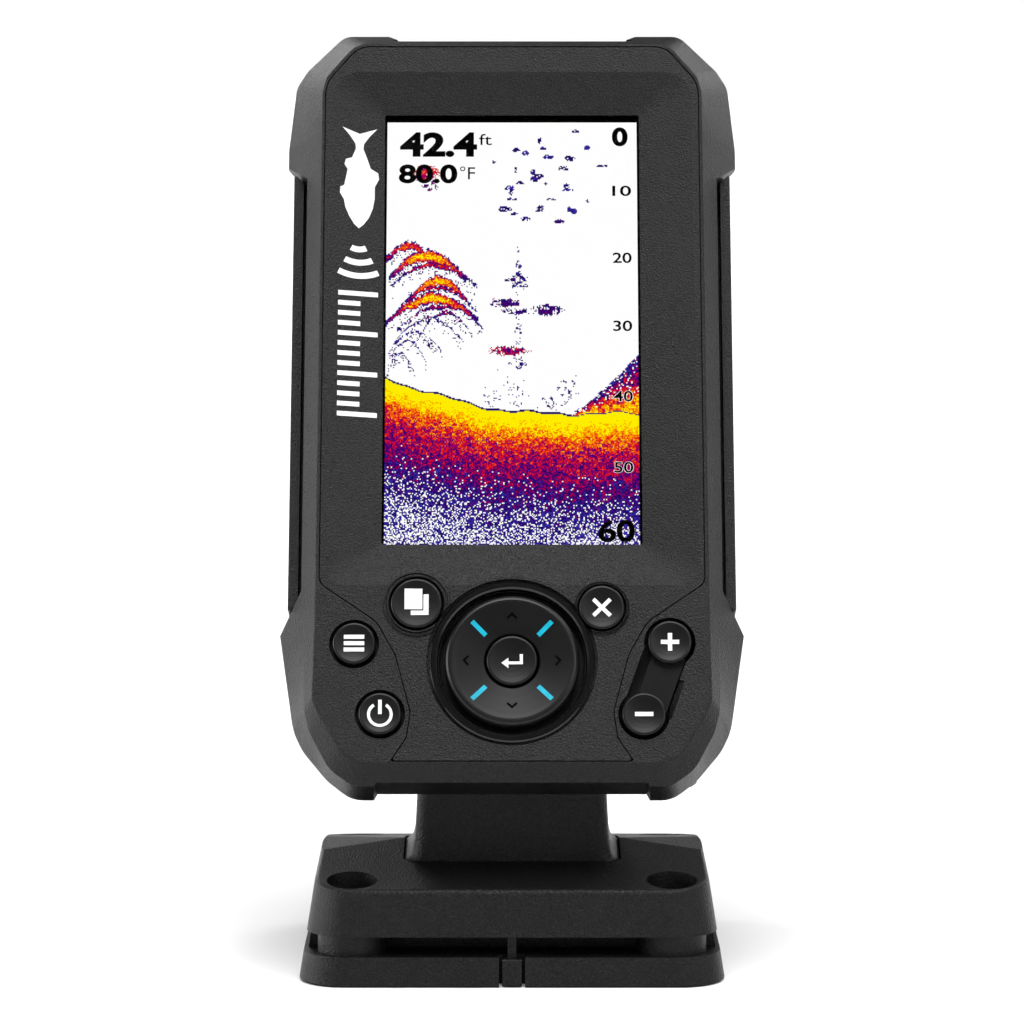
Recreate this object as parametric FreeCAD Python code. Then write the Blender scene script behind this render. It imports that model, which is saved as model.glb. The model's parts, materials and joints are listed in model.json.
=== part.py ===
import FreeCAD, Part
import math
import os

# A compact fish finder: a sealed portrait display unit on a friction tilt hinge, carried by a
# short neck that rises from a screw-down base. World frame: +X right, +Z up, the screen faces -Y,
# and the origin is the centre of the base's underside.
#
# The display unit is modelled upright in its own frame (x right, n into the unit from the face,
# u up the face, origin at the screen's centre on the face plane) and then leaned back as a whole.

V = FreeCAD.Vector

# --- how the display unit stands -------------------------------------------------------------
LEAN = 22.4                 # degrees from vertical at rest
FACE_Y, FACE_Z = 2.9, 134.9  # where the unit frame's origin lies
HINGE_Y, HINGE_Z = 8.0, 46.0  # tilt axis, parallel to X

# --- front frame and face plate (x, u) --------------------------------------------------------
FACE_EDGE = [(33.6, 64.2), (40.0, 56.5), (40.8, 53.0), (40.8, 44.0), (41.0, -65.2),
             (41.4, -82.0), (39.8, -85.3), (34.7, -94.1), (30.6, -95.5)]
OUTER_EDGE = [(36.7, 71.0), (44.7, 62.8), (47.1, 58.8), (48.6, 44.3), (48.9, -65.2),
              (45.9, -85.6), (43.9, -89.9), (38.6, -96.3), (33.4, -100.3)]
SHOULDER_EDGE = [(34.5, 66.2), (41.4, 58.3), (42.6, 54.7), (43.1, 44.1), (43.3, -65.2),
                 (43.2, -83.5), (42.1, -88.0), (37.9, -95.9), (32.9, -99.6)]
FACE_RADII = [5.5, 5.5, 6.0, 0.0, 3.0, 5.0, 10.0, 8.0, 6.0]
OUTER_RADII = [4.0, 6.0, 6.0, 0.0, 3.0, 12.0, 12.0, 12.0, 7.0]
SHOULDER_DEPTH = 3.6        # where the lower rim turns from its chamfer to its wall
BEVEL_DEPTH = 12.3          # how far back the sloped rim runs
SOFT_EDGE = 0.3             # rounding of the rim's edges
FRAME_BACK = 14.0
FLANK_X = 44.2              # side wall between the corner bumpers
SKIN = 2.6                  # wall thickness of the front
PLATE_EDGE = [(33.1, 63.4), (39.4, 55.8), (40.1, 53.3), (40.1, -56.9), (28.1, -65.2),
              (24.1, -72.4), (20.9, -84.6), (21.7, -90.1), (24.9, -94.9)]
PLATE_RADII = [5.0, 5.0, 6.0, 2.5, 6.0, 6.0, 3.0, 2.5, 0.4]
PARTING = 0.25              # groove between plate and frame
LEDGE_DEPTH = 1.6
LEDGE_WIDTH = 1.2
TOP_STEP = [(22.5, -0.4, 63.5), (26.5, 7.0, 67.8)]       # half width, n, u of the rim's set-back middle
BOTTOM_STEP = [(25.7, -0.4, -94.6), (28.4, 2.3, -99.2)]

# --- screen -----------------------------------------------------------------------------------
SCREEN_HALF_X = 27.4
SCREEN_BOTTOM, SCREEN_TOP = -47.9, 48.6
FUNNEL_TOP_HALF_X, FUNNEL_BOTTOM_HALF_X = 38.6, 39.2
FUNNEL_BOTTOM, FUNNEL_TOP = -57.4, 57.65
FUNNEL_RADII = [6.0, 4.5, 4.5, 6.0]
LENS_FRONT, LENS_THICK = 2.9, 1.2
PANEL_HALF_X, PANEL_HALF_U = 33.6, 52.7
PANEL_FRONT, PANEL_THICK = 4.3, 2.9

# --- keys: centre x, centre u, cap radius, hole radius ------------------------------------------
PAGES_KEY = (-19.9, -61.5, 5.3, 5.75)
EXIT_KEY = (18.7, -62.4, 4.7, 5.1)
MENU_KEY = (-32.8, -70.1, 4.4, 5.2)
POWER_KEY = (-27.3, -85.1, 4.4, 5.2)
PLUS_KEY = (32.8, -69.8, 4.5, 5.35)
MINUS_KEY = (27.3, -85.2, 4.5, 5.35)
ENTER_KEY = (0.0, -73.9, 5.25, 5.7)
PAD_CENTRE_U = -73.9
PAD_RADIUS, PAD_BACK = 14.0, 3.0
PAD_WELL = 15.9
PAD_RING = 17.2
PAD_GROOVE = 17.8
KEY_PROUD = 0.9             # cap rim above the face
KEY_DISH = 0.4              # hollow in a cap's top
PAD_PLATE_FRONT, PAD_PLATE_BACK = 3.7, 4.2
ROCKER_BAR = (-2.65, 4.15)  # the bar's two sides, off the line between the cap centres
ROCKER_SLOT = (-4.7, 4.5)
FLANGE_FRONT, FLANGE_BACK = 2.75, 3.6
MEMBRANE_FRONT, MEMBRANE_THICK = 5.0, 0.8

# --- rear housing -----------------------------------------------------------------------------
REAR_EDGE = [(35.6, 68.0), (43.2, 60.2), (45.4, 56.4), (46.8, 44.0), (46.8, -66.0),
             (44.4, -84.6), (42.6, -88.6), (37.4, -95.0), (31.8, -98.6)]
BACK_EDGE = [(33.9, 65.3), (41.1, 58.0), (42.9, 55.0), (44.3, 43.4), (44.3, -65.4),
             (42.1, -83.6), (40.4, -87.2), (36.0, -92.7), (30.9, -96.1)]
REAR_RADII = [2.0, 2.0, 2.0, 0.0, 3.0, 2.0, 2.0, 2.0, 1.5]
REAR_FRONT, REAR_BACK = 14.1, 16.4
BULGE_FOOT = [(26.0, 58.0), (33.0, 50.0), (33.5, 46.0), (33.5, -46.0), (29.0, -55.0)]
BULGE_TOP = [(22.8, 53.6), (29.3, 47.0), (29.7, 44.6), (29.7, -43.2), (26.4, -50.4)]
BULGE_BACK = 28.0
WALL = 2.0
RAIL = [(45.1, 35.3), (47.2, 37.7), (47.2, -61.6), (45.1, -58.2)]
RAIL_FRONT = 9.0
CASE_SCREWS = [(36.95, 46.0), (36.95, -2.0), (36.95, -50.0), (36.4, -80.0)]
SCREW_BOSS = 2.4
PILLARS = [(26.5, 45.0), (26.5, -40.0)]
SOCKETS = {"power": (-14.0, -27.0), "transducer": (14.0, -27.0)}
SOCKET_BORE, SOCKET_WALL, SOCKET_FLANGE = 6.5, 8.0, 10.0
SOCKET_OUT, SOCKET_FLOOR = 33.0, 20.0

# --- tilt joint ---------------------------------------------------------------------------------
ARM_HALF_X = 20.0
KNUCKLE_RADIUS = 10.0
PIN_RADIUS = 3.0
RUNNING = 0.05              # radial clearance of the pin in its bushes
BUSH_RADIUS, BUSH_LENGTH = 5.0, 12.0
EAR_INNER, EAR_OUTER = 20.7, 26.4
DISC_THICK = 0.5
CRADLE_FRONT, CRADLE_BACK = 16.4, 20.0
CRADLE_SCREWS = [(23.4, -66.0), (23.4, -87.0)]
KNOB_START, KNOB_LENGTH, KNOB_RADIUS = 27.7, 12.5, 11.6
KNOB_LOBES = 7

# --- base and neck (world frame) ------------------------------------------------------------------
BASE_HALF_X, BASE_HALF_Y = 44.45, 36.0
BASE_CORNER = 9.5
DRAFT = 9.0                 # degrees
FOOT_CHAMFER = 0.6
PLATE_TOP, COVER_BOTTOM = 6.2, 10.3
EAVE_Z, RIDGE_Z = 19.4, 25.0
HIP_X, HIP_FALL = 23.0, 0.07
BASE_HOLE_X, BASE_HOLE_Y = 33.3, 26.6
BASE_HOLE_RADIUS, COUNTERBORE_RADIUS = 2.3, 5.3
COUNTERBORE_FLOOR = 12.6
BOSS_RADIUS = 7.2
NECK_HALF_Y = 15.0
NECK_CORNER = 2.8
NECK_FOOT_X = 20.75         # half width of the flare before it spreads
FLARE_SETBACK = 0.06        # keeps the flare just inside the column's front and back
NECK_FLARE = [(-3.0, 1.55), (-0.1, 1.55), (0.15, 1.15), (0.55, 0.7), (1.2, 0.3), (2.1, 0.05), (3.2, -0.15)]
NECK_SHOULDER_Z = 37.0
POCKET_X, POCKET_Y, POCKET_Z = 23.0, 15.25, 18.0
TAB_HALF_X, TAB_STEM_X = 2.0, 0.9
TAB_GAP = 0.7


# --- helpers ------------------------------------------------------------------------------------
def on_n(n):
    return lambda a, b: V(a, n, b)


def on_x(x):
    return lambda a, b: V(x, a, b)


def on_z(z):
    return lambda a, b: V(a, b, z)


def outline(points, at, radii=None):
    """Closed wire of straight runs joined by tangent corner arcs."""
    radii = radii or [0.0] * len(points)
    place = [at(a, b) for a, b in points]
    corners = []
    for i, here in enumerate(place):
        back = (place[i - 1] - here).normalize()
        ahead = (place[(i + 1) % len(place)] - here).normalize()
        if radii[i] == 0.0:
            corners.append((here, None, here))
            continue
        half = back.getAngle(ahead) / 2
        run = radii[i] / math.tan(half)
        inward = (back + ahead).normalize()
        crown = here + inward * (radii[i] / math.sin(half) - radii[i])
        corners.append((here + back * run, crown, here + ahead * run))
    edges = []
    for i, (start, crown, end) in enumerate(corners):
        edges.append(Part.LineSegment(corners[i - 1][2], start).toShape())
        if crown is not None:
            edges.append(Part.Arc(start, crown, end).toShape())
    return Part.Wire(edges)


def prism(points, at, along, radii=None):
    return Part.Face(outline(points, at, radii)).extrude(along)


def slab(points, n0, n1, radii=None):
    """A prism of an (x, u) outline from depth n0 to depth n1."""
    return prism(points, on_n(n0), V(0, n1 - n0, 0), radii)


def taper(points0, at0, points1, at1, radii0=None, radii1=None):
    return Part.makeLoft([outline(points0, at0, radii0), outline(points1, at1, radii1 or radii0)], True, True)


def mirrored(right):
    return right + [(-x, u) for x, u in reversed(right)]


def both(values):
    return values + values[::-1]


def between(points0, points1, share):
    """The outline that lies a share of the way from one to another."""
    return [(a + (c - a) * share, b + (d - b) * share) for (a, b), (c, d) in zip(points0, points1)]


def grown(points, amount):
    """A clockwise (x, u) outline moved outward by amount, with its corners kept sharp."""
    moved = []
    for i, (x, u) in enumerate(points):
        sides = []
        for (x0, u0), (x1, u1) in ((points[i - 1], (x, u)), ((x, u), points[(i + 1) % len(points)])):
            length = math.hypot(x1 - x0, u1 - u0)
            sides.append(((u0 - u1) / length, (x1 - x0) / length))
        (ax, au), (bx, bu) = sides
        mitre = amount / (1 + ax * bx + au * bu)
        moved.append((x + (ax + bx) * mitre, u + (au + bu) * mitre))
    return moved


def rect(x0, x1, u0, u1):
    return [(x0, u0), (x1, u0), (x1, u1), (x0, u1)]


def block(x0, x1, y0, y1, z0, z1):
    return Part.makeBox(x1 - x0, y1 - y0, z1 - z0, V(x0, y0, z0))


def peg(x, u, radius, n0, n1):
    """Cylinder along n."""
    return Part.makeCylinder(radius, n1 - n0, V(x, n0, u), V(0, 1, 0))


def post(x, y, radius, z0, z1):
    """Cylinder along Z."""
    return Part.makeCylinder(radius, z1 - z0, V(x, y, z0), V(0, 0, 1))


def axle(radius, x0, x1, y, z):
    """Cylinder along X."""
    return Part.makeCylinder(radius, x1 - x0, V(x0, y, z), V(1, 0, 0))


def turned(profile, x, u):
    """Solid of revolution about an n axis at (x, u); profile is a closed list of (radius, n)."""
    ring = Part.makePolygon([V(x + r, n, u) for r, n in profile + profile[:1]])
    return Part.Face(ring).revolve(V(x, 0, u), V(0, 1, 0), 360)


def fused(shapes):
    result = shapes[0].fuse(shapes[1:]) if len(shapes) > 1 else shapes[0]
    return result.removeSplitter()


def leaned(shape):
    """Moves a shape from the unit frame into the world frame."""
    placed = shape.copy()
    placed.rotate(V(0, 0, 0), V(1, 0, 0), -LEAN)
    placed.translate(V(0, FACE_Y, FACE_Z))
    return placed


def unit_coordinates(y, z):
    """The (n, u) of a world point."""
    lean = math.radians(LEAN)
    dy, dz = y - FACE_Y, z - FACE_Z
    return dy * math.cos(lean) - dz * math.sin(lean), dy * math.sin(lean) + dz * math.cos(lean)


HINGE_N, HINGE_U = unit_coordinates(HINGE_Y, HINGE_Z)


# --- front of the unit --------------------------------------------------------------------------
def rim_step(corners, sign):
    """Thin wedge that sets the rim's middle stretch back from the corner bumpers."""
    (half0, n0, u0), (half1, n1, u1) = corners
    ring = [V(-half0, n0, u0), V(half0, n0, u0), V(half1, n1, u1), V(-half1, n1, u1)]
    outward = V(0, -abs(u1 - u0), sign * (n1 - n0)).normalize() * 3
    return Part.Face(Part.makePolygon(ring + ring[:1])).extrude(outward)


def key_hole(key):
    return peg(key[0], key[1], key[3], -2, SKIN + 1)


def rocker_direction():
    dx, du = PLUS_KEY[0] - MINUS_KEY[0], PLUS_KEY[1] - MINUS_KEY[1]
    length = math.hypot(dx, du)
    return dx / length, du / length


def bridge(sides, n0, n1):
    """The bar that joins the plus and minus caps, also the shape of its slot."""
    ax, au = rocker_direction()
    left, right = sides
    corners = []
    for key, side in ((PLUS_KEY, right), (PLUS_KEY, left), (MINUS_KEY, left), (MINUS_KEY, right)):
        corners.append((key[0] + side * au, key[1] - side * ax))
    return slab(corners, n0, n1)


def slot_chamfer():
    """Bevel along the right side of the rocker's slot."""
    ax, au = rocker_direction()
    x, u = MINUS_KEY[0] + 1.0 * ax, MINUS_KEY[1] + 1.0 * au
    ring = [V(x + side * au, n, u - side * ax) for side, n in ((4.2, -0.4), (6.0, -0.4), (4.2, 1.6))]
    return Part.Face(Part.makePolygon(ring + ring[:1])).extrude(V(ax, 0, au) * 8.6)


def frame_blank():
    """The rim's solid before anything is cut from it, with its edges softened in steps."""
    face, shoulder, outer = mirrored(FACE_EDGE), mirrored(SHOULDER_EDGE), mirrored(OUTER_EDGE)
    dip = SOFT_EDGE * 0.87
    sections = [
        outline(grown(face, -SOFT_EDGE), on_n(0), both(FACE_RADII)),
        outline(grown(face, -SOFT_EDGE * 0.13), on_n(SOFT_EDGE * 0.23), both(FACE_RADII)),
        outline(between(face, shoulder, dip / SHOULDER_DEPTH), on_n(dip), both(FACE_RADII)),
        outline(shoulder, on_n(SHOULDER_DEPTH), both(FACE_RADII)),
        outline(outer, on_n(BEVEL_DEPTH), both(OUTER_RADII)),
        outline(outer, on_n(FRAME_BACK - SOFT_EDGE), both(OUTER_RADII)),
        outline(grown(outer, -SOFT_EDGE), on_n(FRAME_BACK), both(OUTER_RADII)),
    ]
    return Part.makeLoft(sections, True, True)


def front_frame():
    flank = [(FLANK_X, 35.0), (52.0, 44.0), (52.0, -70.4), (FLANK_X, -57.3)]
    cuts = [
        slab(flank, -1, FRAME_BACK + 1),
        slab([(-x, u) for x, u in flank], -1, FRAME_BACK + 1),
        slab([(-24.7, 67.5), (24.7, 67.5), (28.4, 73.0), (-28.4, 73.0)], -1, FRAME_BACK + 1),
        slab([(-28.1, -98.9), (28.1, -98.9), (29.7, -102.0), (-29.7, -102.0)], -1, FRAME_BACK + 1),
        rim_step(TOP_STEP, 1),
        rim_step(BOTTOM_STEP, -1),
        slab(grown(mirrored(PLATE_EDGE), PARTING), -1, LEDGE_DEPTH, both(PLATE_RADII)),
        slab(grown(mirrored(PLATE_EDGE), -LEDGE_WIDTH), -1, SKIN + 1),
        slab(mirrored([(31.5, 61.5), (38.3, 53.5), (38.3, -82.0), (32.5, -92.6)]), SKIN, FRAME_BACK + 1),
        slab(mirrored([(33.0, 64.0), (41.7, 54.6), (41.7, -83.6), (35.6, -93.6), (32.0, -95.6)]),
             7.0, FRAME_BACK + 1),
        key_hole(MENU_KEY),
        key_hole(POWER_KEY),
        key_hole(PLUS_KEY),
        key_hole(MINUS_KEY),
        bridge(ROCKER_SLOT, -1, SKIN + 1),
        slot_chamfer(),
    ]
    body = frame_blank().cut(cuts)
    bosses = [peg(side * x, u, SCREW_BOSS, SKIN, 13.8) for x, u in CASE_SCREWS for side in (-1, 1)]
    body = body.fuse(bosses)
    bores = [peg(side * x, u, 1.25, 4.5, FRAME_BACK) for x, u in CASE_SCREWS for side in (-1, 1)]
    return body.cut(bores).removeSplitter()


def collar(key, outer, height):
    """Raised double ring round a key."""
    inner = key[3] + 0.05
    lip = (outer - inner) * 0.3
    return turned([(inner, 1.0), (inner, -height + 0.12), (inner + 0.12, -height), (inner + lip, -height),
                   (inner + lip + 0.1, -0.1), (outer - lip - 0.1, -0.1), (outer - lip, -height + 0.1),
                   (outer - 0.12, -height + 0.15), (outer, -height + 0.35), (outer, 1.0)], key[0], key[1])


def face_plate():
    edge = mirrored(PLATE_EDGE)
    plate = slab(edge, 0, LEDGE_DEPTH, both(PLATE_RADII))
    plug = slab(grown(edge, -LEDGE_WIDTH - 0.1), LEDGE_DEPTH, SKIN)
    funnel = taper(
        [(FUNNEL_TOP_HALF_X, FUNNEL_TOP), (FUNNEL_BOTTOM_HALF_X, FUNNEL_BOTTOM),
         (-FUNNEL_BOTTOM_HALF_X, FUNNEL_BOTTOM), (-FUNNEL_TOP_HALF_X, FUNNEL_TOP)], on_n(0),
        [(SCREEN_HALF_X, SCREEN_TOP), (SCREEN_HALF_X, SCREEN_BOTTOM),
         (-SCREEN_HALF_X, SCREEN_BOTTOM), (-SCREEN_HALF_X, SCREEN_TOP)], on_n(SKIN),
        FUNNEL_RADII, [0.5] * 4)
    blank = fused([plate, plug])
    mounds = [peg(0, PAD_CENTRE_U, 18.3, 0, SKIN).common(blank),
              peg(PAGES_KEY[0], PAGES_KEY[1], 7.0, 0, SKIN).common(blank),
              peg(EXIT_KEY[0], EXIT_KEY[1], 5.8, 0, SKIN).common(blank)]
    body = blank.cut(funnel).fuse(mounds + [collar(PAGES_KEY, 7.0, 0.5), collar(EXIT_KEY, 5.8, 0.5)])
    groove = peg(0, PAD_CENTRE_U, PAD_GROOVE, -2, 0.9)
    return body.cut([
        groove,
        peg(0, PAD_CENTRE_U, PAD_WELL - 0.6, -2, SKIN + 1),
        key_hole(PAGES_KEY),
        key_hole(EXIT_KEY),
    ]).removeSplitter()


def pad_trim_ring():
    """Satin ring seated in the groove round the direction pad."""
    return turned([(PAD_WELL - 0.55, 0.9), (PAD_WELL - 0.3, -0.1), (PAD_WELL + 0.1, -0.35),
                   (PAD_RING - 0.3, -0.35), (PAD_RING, 0.0), (PAD_RING, 0.9)], 0, PAD_CENTRE_U)


def lens():
    return slab(rect(-30.2, 30.2, SCREEN_BOTTOM - 2.8, SCREEN_TOP + 2.8), LENS_FRONT, LENS_FRONT + LENS_THICK,
                [1.0] * 4)


def lens_tape():
    outer = slab(rect(-30.2, 30.2, SCREEN_BOTTOM - 2.8, SCREEN_TOP + 2.8), SKIN, LENS_FRONT)
    inner = slab(rect(-28.2, 28.2, SCREEN_BOTTOM - 0.8, SCREEN_TOP + 0.8), SKIN - 1, LENS_FRONT + 1)
    return outer.cut(inner)


def lcd_panel():
    back = PANEL_FRONT + PANEL_THICK
    body = slab(rect(-PANEL_HALF_X, PANEL_HALF_X, -PANEL_HALF_U, PANEL_HALF_U), PANEL_FRONT, back)
    step = slab(rect(-PANEL_HALF_X + 1.5, PANEL_HALF_X - 1.5, PANEL_HALF_U - 4.5, PANEL_HALF_U + 1),
                PANEL_FRONT - 1, PANEL_FRONT + 0.7)
    return body.cut(step)


def lcd_tray():
    """Pressed metal tray that holds the panel to the face plate."""
    front, back = PANEL_FRONT + 0.5, PANEL_FRONT + PANEL_THICK
    rim = rect(-PANEL_HALF_X - 0.8, PANEL_HALF_X + 0.8, -PANEL_HALF_U - 0.8, PANEL_HALF_U + 0.8)
    hollow = rect(-PANEL_HALF_X - 0.1, PANEL_HALF_X + 0.1, -PANEL_HALF_U - 0.1, PANEL_HALF_U + 0.1)
    tray = slab(rim, front, back + 0.6).cut(slab(hollow, front - 1, back))
    windows = [slab(rect(-24, 24, u, u + 26), back - 0.5, back + 1) for u in (-44, -13, 18)]
    return tray.cut(windows)


def lcd_flex():
    """Flat cable folded from the panel's lower edge to the main board."""
    bend = [(8.9, -30.0), (8.3, -30.0), (8.3, -44.0), (8.6, -44.0), (8.6, -30.3), (8.9, -30.3)]
    strip = prism(bend, on_x(-9.0), V(18.0, 0, 0))
    tail = block(-9.0, 9.0, 8.0, 8.3, -44.0, -40.0)
    return fused([strip, tail])


def keypad_membrane():
    edge = mirrored([(27.0, -55.5), (37.3, -60.0), (37.3, -81.0), (32.0, -91.2)])
    sheet = slab(edge, MEMBRANE_FRONT, MEMBRANE_FRONT + MEMBRANE_THICK)
    gaps = [peg(side * x, u, 3.3, MEMBRANE_FRONT - 1, MEMBRANE_FRONT + 3)
            for x, u in CASE_SCREWS for side in (-1, 1)]
    return sheet.cut(gaps)


def key_board():
    edge = mirrored([(26.6, -55.5), (37.0, -60.2), (37.0, -80.8), (31.8, -91.0)])
    front = MEMBRANE_FRONT + MEMBRANE_THICK + 0.7
    gaps = [peg(side * x, u, 3.3, front - 1, front + 3) for x, u in CASE_SCREWS for side in (-1, 1)]
    return slab(edge, front, front + 1.2).cut(gaps)


def dome_switches():
    """Snap domes under every key and under the four arms and centre of the pad."""
    back = MEMBRANE_FRONT + MEMBRANE_THICK + 0.7
    spots = [key[:2] for key in (PAGES_KEY, EXIT_KEY, MENU_KEY, POWER_KEY, PLUS_KEY, MINUS_KEY, ENTER_KEY)]
    spots += [(10.0 * math.cos(a), PAD_CENTRE_U + 10.0 * math.sin(a))
              for a in (0, math.pi / 2, math.pi, 3 * math.pi / 2)]
    domes = [turned([(0, back), (0, back - 0.45), (0.9, back - 0.4), (1.8, back - 0.15), (2.0, back)], x, u)
             for x, u in spots]
    return Part.makeCompound(domes)


# --- keys -------------------------------------------------------------------------------------
def dished(radius, rim):
    """Profile of a cap's hollowed top, from its centre to its rounded rim."""
    bowl = radius - 0.45
    hollow = [(bowl * share, rim + KEY_DISH * (1 - share ** 2)) for share in (0.0, 0.3, 0.55, 0.78, 1.0)]
    return hollow + [(radius - 0.2, rim + 0.05), (radius - 0.05, rim + 0.18), (radius, rim + 0.4)]


def plain_key(key):
    """Cap with a retaining flange."""
    x, u, radius = key[:3]
    return turned(dished(radius, -KEY_PROUD) + [
        (radius, FLANGE_FRONT), (radius + 0.95, FLANGE_FRONT), (radius + 0.95, FLANGE_BACK),
        (0.0, FLANGE_BACK)], x, u)


def zoom_rocker():
    """Plus and minus caps on one rocking bar."""
    caps = []
    for x, u, radius, _ in (PLUS_KEY, MINUS_KEY):
        caps.append(turned(dished(radius, -KEY_PROUD) + [(radius, 3.8), (0.0, 3.8)], x, u))
    return fused(caps + [bridge(ROCKER_BAR, 0.9, 3.8)])


def enter_key():
    x, u, radius, _ = ENTER_KEY
    return turned(dished(radius, -1.3) + [(radius, 4.0), (0.0, 4.0)], x, u)


def pad_blank():
    """Ring-shaped cap round the enter key: a shallow bowl with its rim rolled over."""
    bore = ENTER_KEY[3]
    return turned([(bore, PAD_BACK), (bore, -0.4), (bore + 0.2, -0.6), (8.0, -0.88), (10.0, -1.17),
                   (11.6, -1.42),
                   (12.5, -1.58), (12.9, -1.6), (13.3, -1.5), (13.7, -1.15), (13.9, -0.75),
                   (PAD_RADIUS, -0.2),
                   (PAD_RADIUS, PAD_BACK)], 0, PAD_CENTRE_U)


def bar_blocks(slack):
    """Four diagonal inlays set into the pad, before they are trimmed to its bowl."""
    bars = []
    for quarter in range(4):
        length, width = 4.0 + 2 * slack, 0.95 + 2 * slack
        bar = block(7.7 - slack, 7.7 - slack + length, -2.0, -0.3 + slack, -width / 2, width / 2)
        bar.rotate(V(0, 0, 0), V(0, 1, 0), 45 + 90 * quarter)
        bar.translate(V(0, 0, PAD_CENTRE_U))
        bars.append(bar)
    return bars


def direction_pad():
    return pad_blank().cut(bar_blocks(0.03))


def light_bars():
    return Part.makeCompound([bar.common(pad_blank()) for bar in bar_blocks(0.0)])


def pad_plate():
    """Actuator plate under the pad: two studs the pad rocks on, and four feet over the domes."""
    bore = peg(0, PAD_CENTRE_U, ENTER_KEY[3] + 0.1, 3, 5)
    plate = peg(0, PAD_CENTRE_U, 14.9, PAD_PLATE_FRONT, PAD_PLATE_BACK).cut(bore)
    feet = [peg(10.0 * math.cos(a), PAD_CENTRE_U + 10.0 * math.sin(a), 1.5, PAD_PLATE_BACK - 0.05, 4.4)
            for a in (0, math.pi / 2, math.pi, 3 * math.pi / 2)]
    studs = [peg(0, PAD_CENTRE_U + u, 0.6, PAD_BACK + 0.05, PAD_PLATE_FRONT + 0.05) for u in (-10.0, 10.0)]
    return fused([plate] + feet + studs)


# --- electronics ------------------------------------------------------------------------------
def main_board():
    board = slab(mirrored([(27.5, 56.5), (33.8, 51.0), (33.8, -44.0), (28.0, -51.0)]), 9.9, 11.5)
    slots = [peg(side * x, u, 1.55, 9, 12) for x, u in PILLARS for side in (-1, 1)]
    return board.cut(slots)


def board_pillars():
    """Spacers and screws that carry the main board on the housing floor."""
    pillars = [turned([(0, 9.3), (2.5, 9.3), (2.9, 9.9), (1.5, 9.9), (1.5, 11.5), (2.6, 11.5),
                       (2.6, 15.9), (0, 15.9)],
                      side * x, u) for x, u in PILLARS for side in (-1, 1)]
    return Part.makeCompound(pillars)


def board_chips():
    """Processor, memory, power and sounder stages on the back of the main board."""
    layout = [(-12, 12, 8, 30, 1.6), (-24, -15, 10, 24, 1.2), (-24, -15, 28, 38, 1.2), (15, 25, 6, 15, 2.4),
              (15, 25, 20, 34, 3.2), (-26, -17, -14, -4, 4.0), (-10, -2, -12, -4, 1.4), (4, 12, -14, -6, 2.0)]
    return Part.makeCompound([block(x0, x1, 11.5, 11.5 + h, u0, u1) for x0, x1, u0, u1, h in layout])


def shield_can():
    can = block(-13.5, 13.5, 11.5, 15.0, 6.5, 31.5)
    return can.cut(block(-13.1, 13.1, 11.0, 14.6, 6.9, 31.1))


def heat_spreader():
    """Bent aluminium plate that carries heat from the shield to the rear wall."""
    plate = block(-20, 20, 15.1, 16.4, 2.0, 36.0)
    legs = [block(x, x + 2, 16.3, 25.9, 4.0, 34.0) for x in (-20.0, 18.0)]
    feet = [block(x, x + 8, 24.6, 25.9, 4.0, 34.0) for x in (-26.0, 18.0)]
    return fused([plate] + legs + feet)


def gps_antenna():
    return fused([block(-9, 9, 11.5, 12.3, 36, 54), block(-8, 8, 12.2, 15.6, 37, 53),
                  peg(0, 45, 1.0, 15.5, 16.0)])


def buzzer():
    case = turned([(0, 11.5), (6.0, 11.5), (6.0, 17.5), (5.5, 18.0), (1.3, 18.0), (1.3, 17.0), (0, 17.0)],
                  -20.0, -23.0)
    return case


def board_connectors():
    """Flat-cable and socket-harness connectors."""
    return Part.makeCompound([
        block(-10.5, 10.5, 8.9, 9.9, -33.5, -29.0),
        block(-6, 8, 11.5, 16.5, -41.0, -36.0),
        block(16, 28, 11.5, 16.5, -14.0, -8.0),
    ])


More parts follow.
